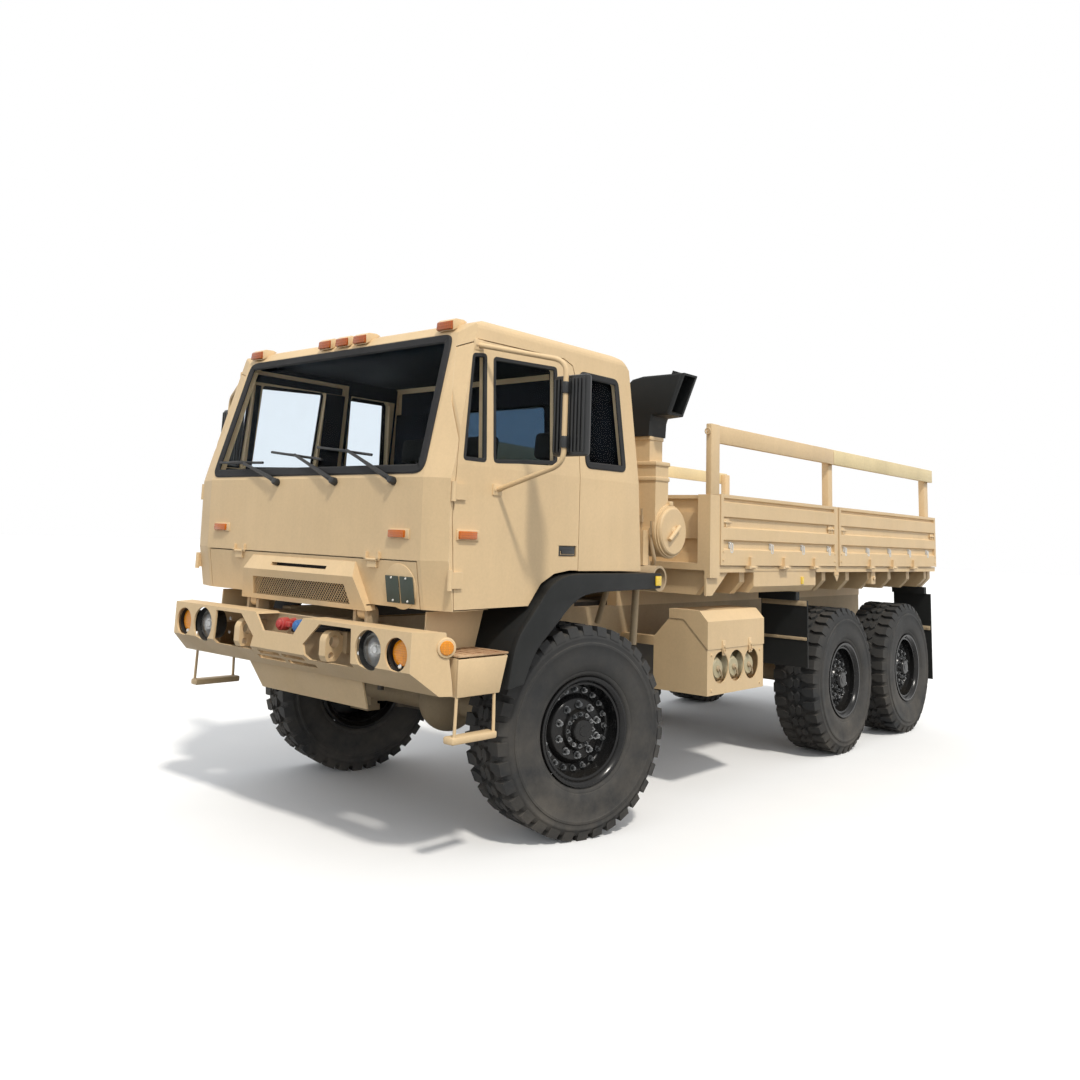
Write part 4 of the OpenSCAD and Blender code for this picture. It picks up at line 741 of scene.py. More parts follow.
def make_end_lamps():
    """Round amber lamps on the slanted ends of the bumper."""
    rings, lenses = bmesh.new(), bmesh.new()
    for sign in (1, -1):
        out = Vector((0.46, 0.888 * sign, 0)).normalized()
        place = Vector((ahead(END_LAMP[0]), sign * END_LAMP[1], END_LAMP[2]))
        drum(rings, place - out * 0.006, place + out * 0.010, 0.052, 0.047, 32, 0.003)
        drum(lenses, place, place + out * 0.018, 0.038, 0.034, 32, 0.006)
    put(rings, "end_lamp_rings", "chassis", TAN)
    put(lenses, "end_lamp_lenses", "chassis", TURN_AMBER)


# Air couplings in the bumper's notch as Y, finish and name
COUPLINGS = ((-0.070, RED_PAINT, "red_air_coupling"), (0.085, BLUE_PAINT, "blue_air_coupling"))


def make_couplings():
    for y, finish, name in COUPLINGS:
        bm = bmesh.new()
        face = Vector((ahead(1.292), y, 1.112))
        drum(bm, face - X * 0.05, face, 0.038, 0.034, 24, 0.004)
        drum(bm, face - X * 0.01, face + X * 0.012, 0.024, 0.022, 24, 0.003)
        slab(bm, face + Vector((-0.045, -0.064, -0.014)), face + Vector((-0.02, 0.064, 0.014)), 0.004)
        tube(bm, rounded([face - X * 0.04, face - X * 0.1 + Z * 0.02, face + Vector((-0.2, 0.02, 0.02))],
                         0.03), 0.015)
        put(bm, name, "chassis", finish)
    bm = bmesh.new()
    for y, drop in ((0.30, 0.0), (0.21, 0.018), (0.14, 0.036)):
        route = [(ahead(1.185), y + 0.22, 1.138 - drop), (ahead(1.212), y, 1.132 - drop),
                 (ahead(1.205), y - 0.2, 1.112 - drop)]
        tube(bm, rounded(route, 0.08), 0.012)
    put(bm, "front_air_hoses", "chassis", SEAL)


make_bumper_lamps()
make_end_lamps()
make_couplings()

# Front panel: wire mesh in its opening, and a blank sign disc

MESH_LOW, MESH_HIGH = (0.468, 1.258), (0.440, 1.362)
WIRE_PITCH, WIRE_R = 0.0225, 0.0019
SIGN_PLACE, SIGN_R = (0.823, 1.372), 0.118


def front_panel_x(z):
    """Face of the front panel beside its nose."""
    return ahead(1.183 + (z - 1.265) * 0.1837)


def make_mesh():
    bm = bmesh.new()
    rise = MESH_HIGH[1] - MESH_LOW[1]
    cuts = 40
    for lean in (1, -1):
        for step in range(int((2 * MESH_LOW[0] + rise) / WIRE_PITCH) + 1):
            foot = -MESH_LOW[0] - rise + step * WIRE_PITCH
            route = []
            for cut in range(cuts + 1):
                share = cut / cuts
                y = foot + rise * (share if lean > 0 else 1 - share)
                if abs(y) < MESH_LOW[0] + (MESH_HIGH[0] - MESH_LOW[0]) * share:
                    z = MESH_LOW[1] + rise * share
                    route.append((ahead(1.201 + (z - 1.230) * 0.287) + lean * 0.002, y, z))
            if len(route) > 2:
                tube(bm, [route[0], route[-1]], WIRE_R, sides=0)
    put(bm, "grille_wires", "front_panel", TAN)
    # A black plate behind the wire mesh and a black strip in the vent slot: painted shade inside these
    # openings.
    bm = bmesh.new()
    outline = [(ahead(1.181), y, z) for y, z in ((-MESH_LOW[0], MESH_LOW[1]), (MESH_LOW[0], MESH_LOW[1]),
                                                (MESH_HIGH[0], MESH_HIGH[1]), (-MESH_HIGH[0], MESH_HIGH[1]))]
    plate(bm, outline, (0.004, 0, 0))
    slab(bm, (ahead(1.200), -0.257, 1.430), (ahead(1.206), 0.257, 1.449), 0.001)
    put(bm, "grille_painted_shade", "front_panel", SEAL)


def make_sign():
    """A tan disc that carries two blank dark plates, with its screws."""
    disc, plates, screws = bmesh.new(), bmesh.new(), bmesh.new()
    y, z = SIGN_PLACE
    face = front_panel_x(z)
    tilt = Vector((1, 0, -0.1837)).normalized()
    drum(disc, Vector((face, y, z)) - tilt * 0.004, Vector((face, y, z)) + tilt * 0.004, SIGN_R, SIGN_R, 48,
         0.002)
    turn = Matrix.Rotation(-math.atan(0.1837), 3, "Y").transposed()
    for low in (-0.105, 0.006):
        centre = Vector((face, y, z)) + tilt * 0.008
        slab(plates, centre + Vector((-0.003, low, -0.085)), centre + Vector((0.003, low + 0.099, 0.055)),
             0.003, turn, centre)
        for lift in (-0.07, 0.045):
            spot = Vector((front_panel_x(z + lift), y + low + 0.05, z + lift)) + tilt * 0.009
            drum(screws, spot, spot + tilt * 0.006, 0.007, 0.005, 12)
    put(disc, "sign_disc", "front_panel", TAN)
    put(plates, "blank_sign_plates", "front_panel", BLANK_SIGN)
    put(screws, "sign_screws", "front_panel", BRIGHT)


make_mesh()
make_sign()

# Doors: mirrors, lamps and handles

MIRROR_X, MIRROR_OUT = 0.800, 0.400
MIRROR_Z = (2.020, 2.550)
PANES = ((2.20, 2.466), (2.074, 2.186))


def make_mirror(side, sign):
    """A tan tube loop on the door that carries a ribbed black mirror head."""
    def at(x, out, z):
        return Vector((ahead(x), sign * (CAB_SIDE + out), z))
    frame_bm, head, pane = bmesh.new(), bmesh.new(), bmesh.new()
    route = [at(0.854, -0.002, 1.885), at(MIRROR_X, MIRROR_OUT, MIRROR_Z[0]),
             at(MIRROR_X, MIRROR_OUT, MIRROR_Z[1]), at(0.986, -0.050, 2.645)]
    tube(frame_bm, rounded(route, 0.07, 8), 0.014, sides=5)
    for x, out, z in ((0.854, 0.0, 1.885), (0.986, -0.052, 2.645)):
        half = Vector((0.035, 0.008, 0.03))
        slab(frame_bm, at(x, out, z) - half, at(x, out, z) + half, 0.004)
        hex_bolts(frame_bm, [at(x + dx, out + 0.008, z) for dx in (-0.022, 0.022)], Y * sign, 0.007, 0.006)
    put(frame_bm, f"mirror_frame_{side}", f"door_{side}", TAN, [f"mirror_{side}"])
    inner, outer = sorted((sign * (CAB_SIDE + MIRROR_OUT - 0.100), sign * (CAB_SIDE + MIRROR_OUT + 0.125)))
    slab(head, (ahead(MIRROR_X - 0.066), inner, 2.060), (ahead(MIRROR_X - 0.020), outer, 2.480), 0.018)
    for rib in range(9):
        y = inner + 0.02 + rib * (outer - inner - 0.04) / 8
        slab(head, (ahead(MIRROR_X - 0.024), y - 0.007, 2.080), (ahead(MIRROR_X - 0.010), y + 0.007, 2.460),
             0.004)
    for z in (2.13, 2.41):
        drum(head, at(MIRROR_X, MIRROR_OUT, z - 0.03), at(MIRROR_X, MIRROR_OUT, z + 0.03), 0.022, sides=20,
             bevel=0.003)
    put(head, f"mirror_head_{side}", f"door_{side}", BLACK_PAINT)
    for foot, top in PANES:
        slab(pane, (ahead(MIRROR_X - 0.069), inner + 0.014, foot),
             (ahead(MIRROR_X - 0.064), outer - 0.014, top), 0.002)
    put(pane, f"mirror_silver_{side}", f"door_{side}", MIRROR)


DOOR_LAMP_X, DOOR_LAMP_Z = (0.981, 1.141), (1.617, 1.671)


def make_door_fittings(side, sign):
    def at(x, out, z):
        return Vector((ahead(x), sign * (CAB_SIDE + out), z))
    body = f"door_{side}"
    bezel, lens, handle = bmesh.new(), bmesh.new(), bmesh.new()
    corners = [at(DOOR_LAMP_X[0], -0.002, DOOR_LAMP_Z[0]), at(DOOR_LAMP_X[1], 0.009, DOOR_LAMP_Z[1])]
    slab(bezel, *[Vector(map(pick, *corners)) for pick in (min, max)], 0.003)
    corners = [at(DOOR_LAMP_X[0] + 0.026, 0.0, DOOR_LAMP_Z[0] + 0.007),
               at(DOOR_LAMP_X[1] - 0.008, 0.022, DOOR_LAMP_Z[1] - 0.007)]
    slab(lens, *[Vector(map(pick, *corners)) for pick in (min, max)], 0.005)
    put(bezel, f"door_lamp_bezel_{side}", body, TAN)
    put(lens, f"door_lamp_lens_{side}", body, AMBER, [f"door_{side}_lamp"])
    corners = [at(0.170, -0.012, 1.549), at(0.318, -0.004, 1.603)]
    slab(handle, *[Vector(map(pick, *corners)) for pick in (min, max)], 0.003)
    corners = [at(0.185, -0.004, 1.560), at(0.303, 0.006, 1.582)]
    slab(handle, *[Vector(map(pick, *corners)) for pick in (min, max)], 0.004)
    put(handle, f"door_handle_{side}", body, BLACK_PAINT)


for side, sign in SIDES:
    make_mirror(side, sign)
    make_door_fittings(side, sign)

# Cab inside: dark lining, dashboard and padded seats

WALL = 0.050
SEAT_Y, SEAT_HALF = (-0.640, 0.0, 0.640), 0.235


# Trim panels as place ahead of the front axle and height of two corners
DOOR_TRIM = (((0.20, 1.50), (1.12, 2.000)), ((0.20, 2.000), (1.10, 2.026)), ((0.17, 2.026), (0.338, 2.62)),
             ((0.886, 2.026), (0.926, 2.60)), ((0.20, 2.622), (0.99, 2.672)))
QUARTER_TRIM = (((-0.33, 1.56), (0.13, 2.000)), ((-0.33, 2.000), (0.13, 2.068)),
                ((-0.33, 2.630), (0.14, 2.70)), ((-0.33, 2.068), (-0.315, 2.63)),
                ((0.112, 2.068), (0.136, 2.63)), ((-0.33, 2.700), (0.96, 2.745)))


def trim_panel(bm, low, high, sign):
    """A dark sheet that follows the inner face of the cab's side wall."""
    corners = ((low[0], low[1]), (high[0], low[1]), (high[0], high[1]), (low[0], high[1]))
    plate(bm, [on_side(x, z, -WALL - 0.002, sign) for x, z in corners], (0, -sign * 0.004, 0))


def make_lining():
    """Near-black headliner, back wall and pillar trim, and dark glass over the back window: painted shade that
    makes the cab dark behind its glass.
    """
    bm = bmesh.new()
    slab(bm, (ahead(-0.28), -0.985, 2.722), (ahead(0.94), 0.985, 2.738), 0.006)
    slab(bm, (ahead(-0.375), -1.06, 1.53), (ahead(-0.36), 1.06, 2.11), 0.004)
    slab(bm, (ahead(-0.36), -1.00, 2.53), (ahead(-0.345), 1.00, 2.70), 0.004)
    for side, sign in SIDES:
        near, far = sorted((sign * 0.44, sign * 1.06))
        slab(bm, (ahead(-0.362), near, 2.10), (ahead(-0.35), far, 2.54), 0.004)
        for low, high in QUARTER_TRIM:
            trim_panel(bm, low, high, sign)
        door = bmesh.new()
        for low, high in DOOR_TRIM:
            trim_panel(door, low, high, sign)
        put(door, f"door_trim_{side}", f"door_{side}", SHADED_PLASTIC)
    slab(bm, (ahead(-0.30), -1.05, 1.5175), (ahead(0.45), 1.05, 1.523), 0.002)
    put(bm, "cab_lining", "cab", SHADED_PLASTIC)
    # A dark pane over the back window, painted shade.
    bm = bmesh.new()
    slab(bm, (ahead(-0.362), -0.445, 2.10), (ahead(-0.354), 0.445, 2.54), 0.002)
    put(bm, "back_window_painted_shade", "cab", DARK_GLASS)


def cushion(bm, low, high, crown):
    """A pad whose faces swell between its rounded edges."""
    low, high = Vector(low), Vector(high)
    part = bmesh.new()
    bmesh.ops.create_cube(part, size=1, matrix=Matrix.LocRotScale((low + high) / 2, None, high - low))
    bevelled(part, part.edges[:], 0.035, 3)
    bmesh.ops.subdivide_edges(part, edges=[e for e in part.edges if e.calc_length() > 0.1], cuts=7,
                              use_grid_fill=True)
    middle, half = (low + high) / 2, (high - low) / 2
    thin = min(range(3), key=lambda axis: half[axis])
    for vert in part.verts:
        spread_out = 1.0
        for axis in range(3):
            if axis != thin:
                spread_out *= max(0.0, 1 - abs((vert.co[axis] - middle[axis]) / half[axis]) ** 2.4)
        vert.co[thin] += crown * spread_out * (1 if vert.co[thin] > middle[thin] else -0.3)
    mesh = bpy.data.meshes.new("pad")
    part.to_mesh(mesh)
    part.free()
    bm.from_mesh(mesh)
    bpy.data.meshes.remove(mesh)


def make_seats():
    bases = bmesh.new()
    for index, y in enumerate(SEAT_Y):
        pads = bmesh.new()
        near, far = y - SEAT_HALF, y + SEAT_HALF
        cushion(pads, (ahead(-0.10), near + 0.012, 1.610), (ahead(0.318), far - 0.012, 1.708), 0.014)
        back = bmesh.new()
        cushion(back, (ahead(-0.205), near + 0.012, 1.715), (ahead(-0.105), far - 0.012, 2.120), 0.016)
        cushion(back, (ahead(-0.195), y - 0.14, 2.150), (ahead(-0.115), y + 0.14, 2.325), 0.012)
        pivot = Vector((ahead(-0.15), 0, 1.70))
        lean = Matrix.Translation(pivot) @ Matrix.Rotation(-0.10, 4, "Y") @ Matrix.Translation(-pivot)
        bmesh.ops.transform(back, matrix=lean, verts=back.verts[:])
        mesh = bpy.data.meshes.new("pad")
        back.to_mesh(mesh)
        back.free()
        pads.from_mesh(mesh)
        bpy.data.meshes.remove(mesh)
        seat = put(pads, f"seat_pads_{index + 1}", "cab", CLOTH,
                   ["seats"] if index == 0 else [], 60)
        slab(bases, (ahead(-0.20), near + 0.03, 1.516), (ahead(0.27), far - 0.03, 1.612), 0.012)
        for sign in (1, -1):
            tube(bases, [(ahead(-0.17), y + sign * 0.07, 2.08), (ahead(-0.185), y + sign * 0.07, 2.2)], 0.007)
    put(bases, "seat_bases", "cab", SHADED_PLASTIC)


def make_dash():
    """Instrument hood and knobs on the dashboard."""
    bm = bmesh.new()
    slab(bm, (ahead(0.905), 0.36, 1.925), (ahead(1.06), 0.84, 1.985), 0.02)
    slab(bm, (ahead(0.862), -0.30, 1.80), (ahead(0.90), 0.26, 1.90), 0.012)
    for y in (0.46, 0.60, 0.74):
        drum(bm, (ahead(0.90), y, 1.945), (ahead(0.908), y, 1.945), 0.045, 0.045, 28, 0.002)
    for index in range(7):
        drum(bm, (ahead(0.845), -0.25 + index * 0.075, 1.85), (ahead(0.865), -0.25 + index * 0.075, 1.85),
             0.014, 0.016, 16)
    put(bm, "dash_fittings", "cab", BLACK_PAINT)


make_lining()
make_seats()
make_dash()

# Bed: racks, drop side fittings, corner pieces

SIDE_TOP, RACK_TOP, RACK_H = 1.990, 2.468, 0.124
SIDE_INNER = BED_SIDE - 0.044
POST_FOOT = 1.5155
FRONT_SIDE, REAR_SIDE = (-3.232, -1.352), (TAIL + 0.066 - FRONT_AXLE, -3.296)


def y_range(sign, near, far):
    return sorted((sign * near, sign * far))


def make_racks():
    """Lift-out side racks; the rear rails are faded."""
    rails, faded = bmesh.new(), bmesh.new()
    for side, sign in SIDES:
        low, high = y_range(sign, SIDE_INNER - 0.011, SIDE_INNER + 0.024)
        slab(rails, (ahead(-3.247), low, RACK_TOP - RACK_H), (ahead(-1.34), high, RACK_TOP), 0.005)
        slab(faded, (TAIL + 0.060, low, RACK_TOP - RACK_H), (ahead(-3.253), high, RACK_TOP), 0.005)
        low, high = y_range(sign, SIDE_INNER - 0.006, BED_SIDE - 0.006)
        slab(rails, (ahead(-1.340), low, SIDE_TOP - 0.01), (ahead(-1.225), high, RACK_TOP), 0.006)
        low, high = y_range(sign, SIDE_INNER - 0.070, SIDE_INNER - 0.0105)
        for start, width in ((ahead(-3.290), 0.080), (TAIL + 0.100, 0.100)):
            slab(rails, (start, low, POST_FOOT), (start + width, high, RACK_TOP - 0.02), 0.005)
        eye = Vector((ahead(-1.222), sign * (BED_SIDE - 0.028), RACK_TOP - 0.055))
        tube(rails, [eye + Vector((0.010, 0.020 * math.cos(a), 0.020 * math.sin(a))) for a in
                     [math.tau * step / 20 for step in range(20)]], 0.005, True)
    put(rails, "rack_frames", "chassis", TAN, ["side_racks"])
    put(faded, "rack_rear_rails", "chassis", FADED_TAN)


GROOVES = (1.950, 1.800, 1.643)
HOOK_HALF, HOOK_OUT = 0.014, 0.019
HOOKS = {"front": (-3.10, -2.62, -2.10, -1.50), "rear": (-5.38, -4.90, -4.40, -3.90, -3.42)}


def make_dropside_fittings(end, side, sign):
    """Tie-down hooks and end latches of one drop side."""
    span = FRONT_SIDE if end == "front" else REAR_SIDE
    hooks, latches = bmesh.new(), bmesh.new()
    face = BED_SIDE - 0.020
    groove = GROOVES[2]
    for x in HOOKS[end]:
        low, high = y_range(sign, face - 0.002, face + 0.008)
        slab(hooks, (ahead(x) - 0.020, low, groove - 0.022), (ahead(x) + 0.020, high, groove + 0.022), 0.003)
        back, front = ahead(x) - HOOK_HALF, ahead(x) + HOOK_HALF
        near, far = sign * (face + 0.006), sign * (face + HOOK_OUT)
        top, foot = groove + 0.012, groove - 0.050
        route = [(back, near, top), (back, far, top), (back, far, foot),
                 (front, far, foot), (front, far, top), (front, near, top)]
        tube(hooks, rounded(route, 0.012), 0.005)
    groove = GROOVES[1]
    for x, way in ((span[0], 1), (span[1], -1)):
        base = ahead(x) + way * 0.02
        plate_end, bar_end, pivot = base + way * 0.11, base + way * 0.13, base + way * 0.06
        low, high = y_range(sign, face - 0.002, face + 0.010)
        slab(latches, (min(base, plate_end), low, groove - 0.030),
             (max(base, plate_end), high, groove + 0.030), 0.003)
        bar_y = sign * (face + 0.012)
        drum(latches, (base, bar_y, groove), (bar_end, bar_y, groove), 0.008, sides=16, bevel=0.002)
        drum(latches, (pivot, sign * (face + 0.010), groove), (pivot, sign * (face + HOOK_OUT), groove),
             0.016, sides=20, bevel=0.002)
        low, high = y_range(sign, face + 0.008, face + HOOK_OUT)
        slab(latches, (pivot - 0.008, low, groove - 0.055), (pivot + 0.008, high, groove), 0.003)
        hex_bolts(latches, [(base + way * 0.012, sign * BED_SIDE, z) for z in (1.54, 1.60)], Y * sign, 0.008,
                  0.006)
    body = f"dropside_{end}_{side}"
    put(hooks, f"tie_hooks_{end}_{side}", body, BRIGHT)
    put(latches, f"side_latches_{end}_{side}", body, TAN)


def make_bed_trim():
    """Plate over the joint of the drop sides, pointed foot, headboard latch and front brackets."""
    bm = bmesh.new()
    for side, sign in SIDES:
        low, high = y_range(sign, SIDE_INNER + 0.002, BED_SIDE - 0.008)
        slab(bm, (ahead(-3.291), low, 1.46), (ahead(-3.237), high, SIDE_TOP - 0.004), 0.004)
        outline = [(ahead(x), sign * (BED_SIDE - 0.012), z) for x, z in
                   ((-3.305, 1.475), (-3.222, 1.475), (-3.222, 1.425), (-3.264, 1.375), (-3.305, 1.425))]
        plate(bm, outline, (0, -sign * 0.012, 0), 0.003)
        bolts = [(ahead(x), sign * (BED_SIDE - 0.012), z) for x in (-3.285, -3.243) for z in (1.455, 1.435)]
        hex_bolts(bm, bolts, Y * sign, 0.008, 0.006)
        low, high = y_range(sign, 1.060, 1.175)
        slab(bm, (ahead(-4.15), low, 1.345), (ahead(-4.06), high, 1.468), 0.006)
        drum(bm, (ahead(-4.105), sign * 1.17, 1.40), (ahead(-4.105), sign * 1.187, 1.40), 0.020, sides=20,
             bevel=0.003)
    put(bm, "bed_joint_plates", "chassis", TAN)
    seams = bmesh.new()
    for index in range(1, 9):
        x = TAIL + 0.07 + index * (ahead(-1.36) - TAIL - 0.07) / 9
        slab(seams, (x - 0.004, -1.07, 1.5185), (x + 0.004, 1.07, 1.5215), 0.001)
    put(seams, "floor_seams", "chassis", UNDER_TAN)


make_racks()
for end in ("front", "rear"):
    for side, sign in SIDES:
        make_dropside_fittings(end, side, sign)
make_bed_trim()

# Air intake: hood, canister and stack

HOOD_X = (-0.900, -0.700)
HOOD_OUTLINE = ((0.832, 2.3365), (1.046, 2.3365), (1.052, 2.430), (1.075, 2.462), (1.190, 2.470),
                (1.300, 2.737), (0.985, 2.737), (0.900, 2.722), (0.850, 2.680), (0.832, 2.600))
CLEANER = (-0.891, 1.718)
STACK_X = (-0.875, -0.725)


def make_hood():
    """Moulded rubber hood, with its slanted mouth sunk in."""
    bm = bmesh.new()
    face = bm.faces.new([bm.verts.new((ahead(HOOD_X[0]), y, z)) for y, z in HOOD_OUTLINE])
    made = bmesh.ops.extrude_face_region(bm, geom=[face])["geom"]
    moved = [item for item in made if isinstance(item, bmesh.types.BMVert)]
    bmesh.ops.translate(bm, verts=moved, vec=(HOOD_X[1] - HOOD_X[0], 0, 0))
    bmesh.ops.recalc_face_normals(bm, faces=bm.faces[:])
    long_edges = [edge for edge in bm.edges if abs((edge.verts[0].co - edge.verts[1].co).normalized().x) < 0.1
                  and min(vert.co.z for vert in edge.verts) > 2.34]
    bevelled(bm, long_edges, 0.022, 3)
    out = Vector((0, 0.925, -0.38))
    mouth = max(bm.faces, key=lambda item: item.normal.dot(out) * item.calc_area())
    bmesh.ops.inset_region(bm, faces=[mouth], thickness=0.014, use_even_offset=True)
    sunk = bmesh.ops.extrude_face_region(bm, geom=[mouth])["geom"]
    bmesh.ops.delete(bm, geom=[mouth], context="FACES_ONLY")
    inner = [item for item in sunk if isinstance(item, bmesh.types.BMVert)]
    bmesh.ops.translate(bm, verts=inner, vec=-out.normalized() * 0.10)
    put(bm, "moulded_hood", "chassis", FLARE, ["intake_hood"])


def make_canister():
    """Clamp band, end cap with its handle, pipes and a collar on the stack."""
    bm = bmesh.new()
    centre = Vector((ahead(CLEANER[0]), 0, CLEANER[1]))
    for y, radius, half in ((1.085, 0.176, 0.012), (0.62, 0.174, 0.015), (0.90, 0.171, 0.008)):
        drum(bm, centre + Y * (y - half), centre + Y * (y + half), radius, sides=56, bevel=0.003)
    drum(bm, centre + Y * 1.108, centre + Y * 1.128, 0.160, 0.152, 56, 0.006)
    drum(bm, centre + Y * 1.126, centre + Y * 1.140, 0.030, 0.026, 24, 0.003)
    handle = centre + Y * 1.146
    drum(bm, handle + Vector((0.075, 0, -0.058)), handle + Vector((-0.045, 0, 0.035)), 0.014, sides=20,
         bevel=0.003)
    slab(bm, centre + Vector((-0.02, 1.06, 0.168)), centre + Vector((0.02, 1.11, 0.196)), 0.004)
    for z, grow in ((2.055, 0.008), (2.155, 0.010)):
        slab(bm, (ahead(STACK_X[0]) - grow, 0.840 - grow, z - 0.014),
             (ahead(STACK_X[1]) + grow, 1.090 + grow, z + 0.014), 0.006)
    slab(bm, (ahead(STACK_X[0]) - 0.007, 0.833, 2.310), (ahead(STACK_X[1]) + 0.007, 1.046, 2.336), 0.005)
    put(bm, "canister_fittings", "chassis", TAN)
    pipes = bmesh.new()
    for y, low, reach in ((1.060, 1.62, 0.14), (1.020, 1.56, 0.17), (0.985, 1.70, 0.12)):
        start = Vector((ahead(-0.735), y, low))
        tube(pipes,
             rounded([start + Z * 0.16, start, start + Vector((-0.03, 0.01, -0.10)),
                      start + Vector((reach - 0.2, -0.05, -0.14))], 0.04), 0.013)
        drum(pipes, start + Z * 0.07, start + Z * 0.115, 0.020, sides=6)
    put(pipes, "intake_pipes", "chassis", UNDER_TAN)


make_hood()
make_canister()

# Sides of the frame: battery box, steps, flaps, reflectors and tail lamps

BOX_X, BOX_SIDE = (-2.004, -1.226), 1.195


def make_battery_details():
    bm = bmesh.new()
    for x in (-1.80, -1.43):
        slab(bm, (ahead(x) - 0.020, BOX_SIDE - 0.002, 0.90), (ahead(x) + 0.020, BOX_SIDE + 0.006, 1.00),
             0.003)
        drum(bm, (ahead(x), BOX_SIDE + 0.004, 0.965), (ahead(x), BOX_SIDE + 0.014, 0.965), 0.012, sides=20,
             bevel=0.002)
        tube(bm, rounded([(ahead(x) - 0.012, BOX_SIDE + 0.008, 0.97),
                          (ahead(x) - 0.012, BOX_SIDE + 0.012, 0.915),
                          (ahead(x) + 0.012, BOX_SIDE + 0.012, 0.915),
                          (ahead(x) + 0.012, BOX_SIDE + 0.008, 0.97)], 0.01), 0.003)
    for x in (-1.95, -1.28):
        hex_bolts(bm, [(ahead(x), BOX_SIDE - 0.006, z) for z in (0.68, 0.91)], Y, 0.009, 0.007)
    put(bm, "battery_latches", "chassis", TAN)
    for index in range(3):
        x = (BOX_X[0] + BOX_X[1]) / 2 + (index - 1) * 0.214
        cap = bmesh.new()
        drum(cap, (ahead(x), 1.168, 0.812), (ahead(x), 1.180, 0.812), 0.022, 0.018, 20, 0.003)
        tube(cap,
             rounded([(ahead(x), 1.176, 0.812), (ahead(x), 1.186, 0.812), (ahead(x) - 0.03, 1.186, 0.75),
                      (ahead(x) - 0.05, 1.12, 0.72)], 0.02), 0.006)
        put(cap, f"tank_valve_{index + 1}", "chassis", UNDER_TAN)


# Reflectors as place ahead of the front axle, side distance, height, half length and half height
REFLECTORS = ((-0.605, 1.201, 1.406, 0.030, 0.030), (-2.634, 1.196, 1.392, 0.024, 0.028))
FLAP_BARS = ((-2.680, 0.84, 1.215, 0.946, 0.012), (-5.500, 0.84, 1.185, 0.905, 0.020),
             (-2.680, 0.84, 1.215, 1.215, 0.020))


def make_side_details():
    lenses, bars = bmesh.new(), bmesh.new()
    for side, sign in SIDES:
        for x, out, z, half, tall in REFLECTORS:
            low, high = y_range(sign, out - 0.003, out + 0.007)
            slab(lenses, (ahead(x) - half, low, z - tall), (ahead(x) + half, high, z + tall), 0.003)
        for x, near, far, z, tall in FLAP_BARS:
            low, high = y_range(sign, near, far)
            slab(bars, (ahead(x) - 0.006, low, z - tall), (ahead(x) + 0.020, high, z + tall), 0.003)
            hex_bolts(bars,
                      [(ahead(x) + 0.018, low + (high - low) * share, z) for share in (0.08, 0.36, 0.64,
                                                                                       0.92)], X, 0.008,
                      0.006)
        drum(bars, (ahead(-0.80), sign * 0.90, 1.34), (ahead(-0.775), sign * 0.90, 0.98), 0.024, sides=20)
        drum(bars, (ahead(-0.66), sign * 0.80, 1.43), (ahead(-0.76), sign * 0.62, 1.10), 0.020, sides=16)
    put(lenses, "yellow_reflectors", "chassis", YELLOW)
    put(bars, "flap_bars", "chassis", UNDER_TAN)


def make_tail_lamps():
    shells, red, amber = bmesh.new(), bmesh.new(), bmesh.new()
    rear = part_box("tail_lamps")[0].x
    for side, sign in SIDES:
        low, high = y_range(sign, 0.862, 1.088)
        slab(shells, (rear + 0.012, low, 1.192), (rear + 0.058, high, 1.299), 0.006)
        for middle, bm in ((1.030, red), (0.950, amber)):
            centre = Vector((rear + 0.014, sign * middle, 1.245))
            drum(bm, centre, centre - X * 0.012, 0.034, 0.030, 28, 0.003)
        low, high = y_range(sign, 0.875, 0.905)
        slab(red, (rear + 0.006, low, 1.215), (rear + 0.014, high, 1.275), 0.002)
    put(shells, "tail_lamp_shells", "chassis", BLACK_PAINT, ["tail_lamps"])
    put(red, "tail_lamp_red", "chassis", RED_LENS)
    put(amber, "tail_lamp_amber", "chassis", AMBER)


def make_spring_clamps():
    """U-bolts over the leaf packs and dampers beside the front springs."""
    bm = bmesh.new()
    for side, sign in SIDES:
        y = sign * 0.3875
        for x, top in ((0.0, 0.785), ((-3.4 - 4.8) / 2, 0.88)):
            for shift in (-0.075, 0.075):
                route = [(ahead(x) + shift, y - 0.056, 0.62), (ahead(x) + shift, y - 0.056, top),
                         (ahead(x) + shift, y + 0.056, top), (ahead(x) + shift, y + 0.056, 0.62)]
                tube(bm, rounded(route, 0.02), 0.011)
            slab(bm, (ahead(x) - 0.10, y - 0.06, top - 0.005), (ahead(x) + 0.10, y + 0.06, top + 0.014),
                 0.004)
        drum(bm, (ahead(0.14), sign * 0.50, 0.66), (ahead(0.17), sign * 0.46, 1.08), 0.036, sides=20,
             bevel=0.004)
        drum(bm, (ahead(0.135), sign * 0.505, 0.60), (ahead(0.14), sign * 0.50, 0.68), 0.022, sides=16)
    put(bm, "spring_clamps", "chassis", STEEL)


def make_bumper_bolts():
    bm = bmesh.new()
    for side, sign in SIDES:
        for y, z in ((0.60, 1.10), (0.60, 1.02), (0.31, 1.075)):
            hex_bolts(bm, [(ahead(1.262), sign * y, z)], X, 0.010, 0.008)
        hex_bolts(bm, [(ahead(1.318), sign * 0.4, 0.99 + dz) for dz in (0.0, 0.04)], X, 0.009, 0.010)
    put(bm, "bumper_bolts", "chassis", BRIGHT)


make_battery_details()
make_side_details()
make_tail_lamps()
make_spring_clamps()
make_bumper_bolts()

# Steps and wheel-arch flares under the cab

STEP_IN, STEP_OUT = 0.930, 1.190
STEP_LOW, STEP_TOP, STIRRUP_LOW = 0.858, 1.058, 0.636
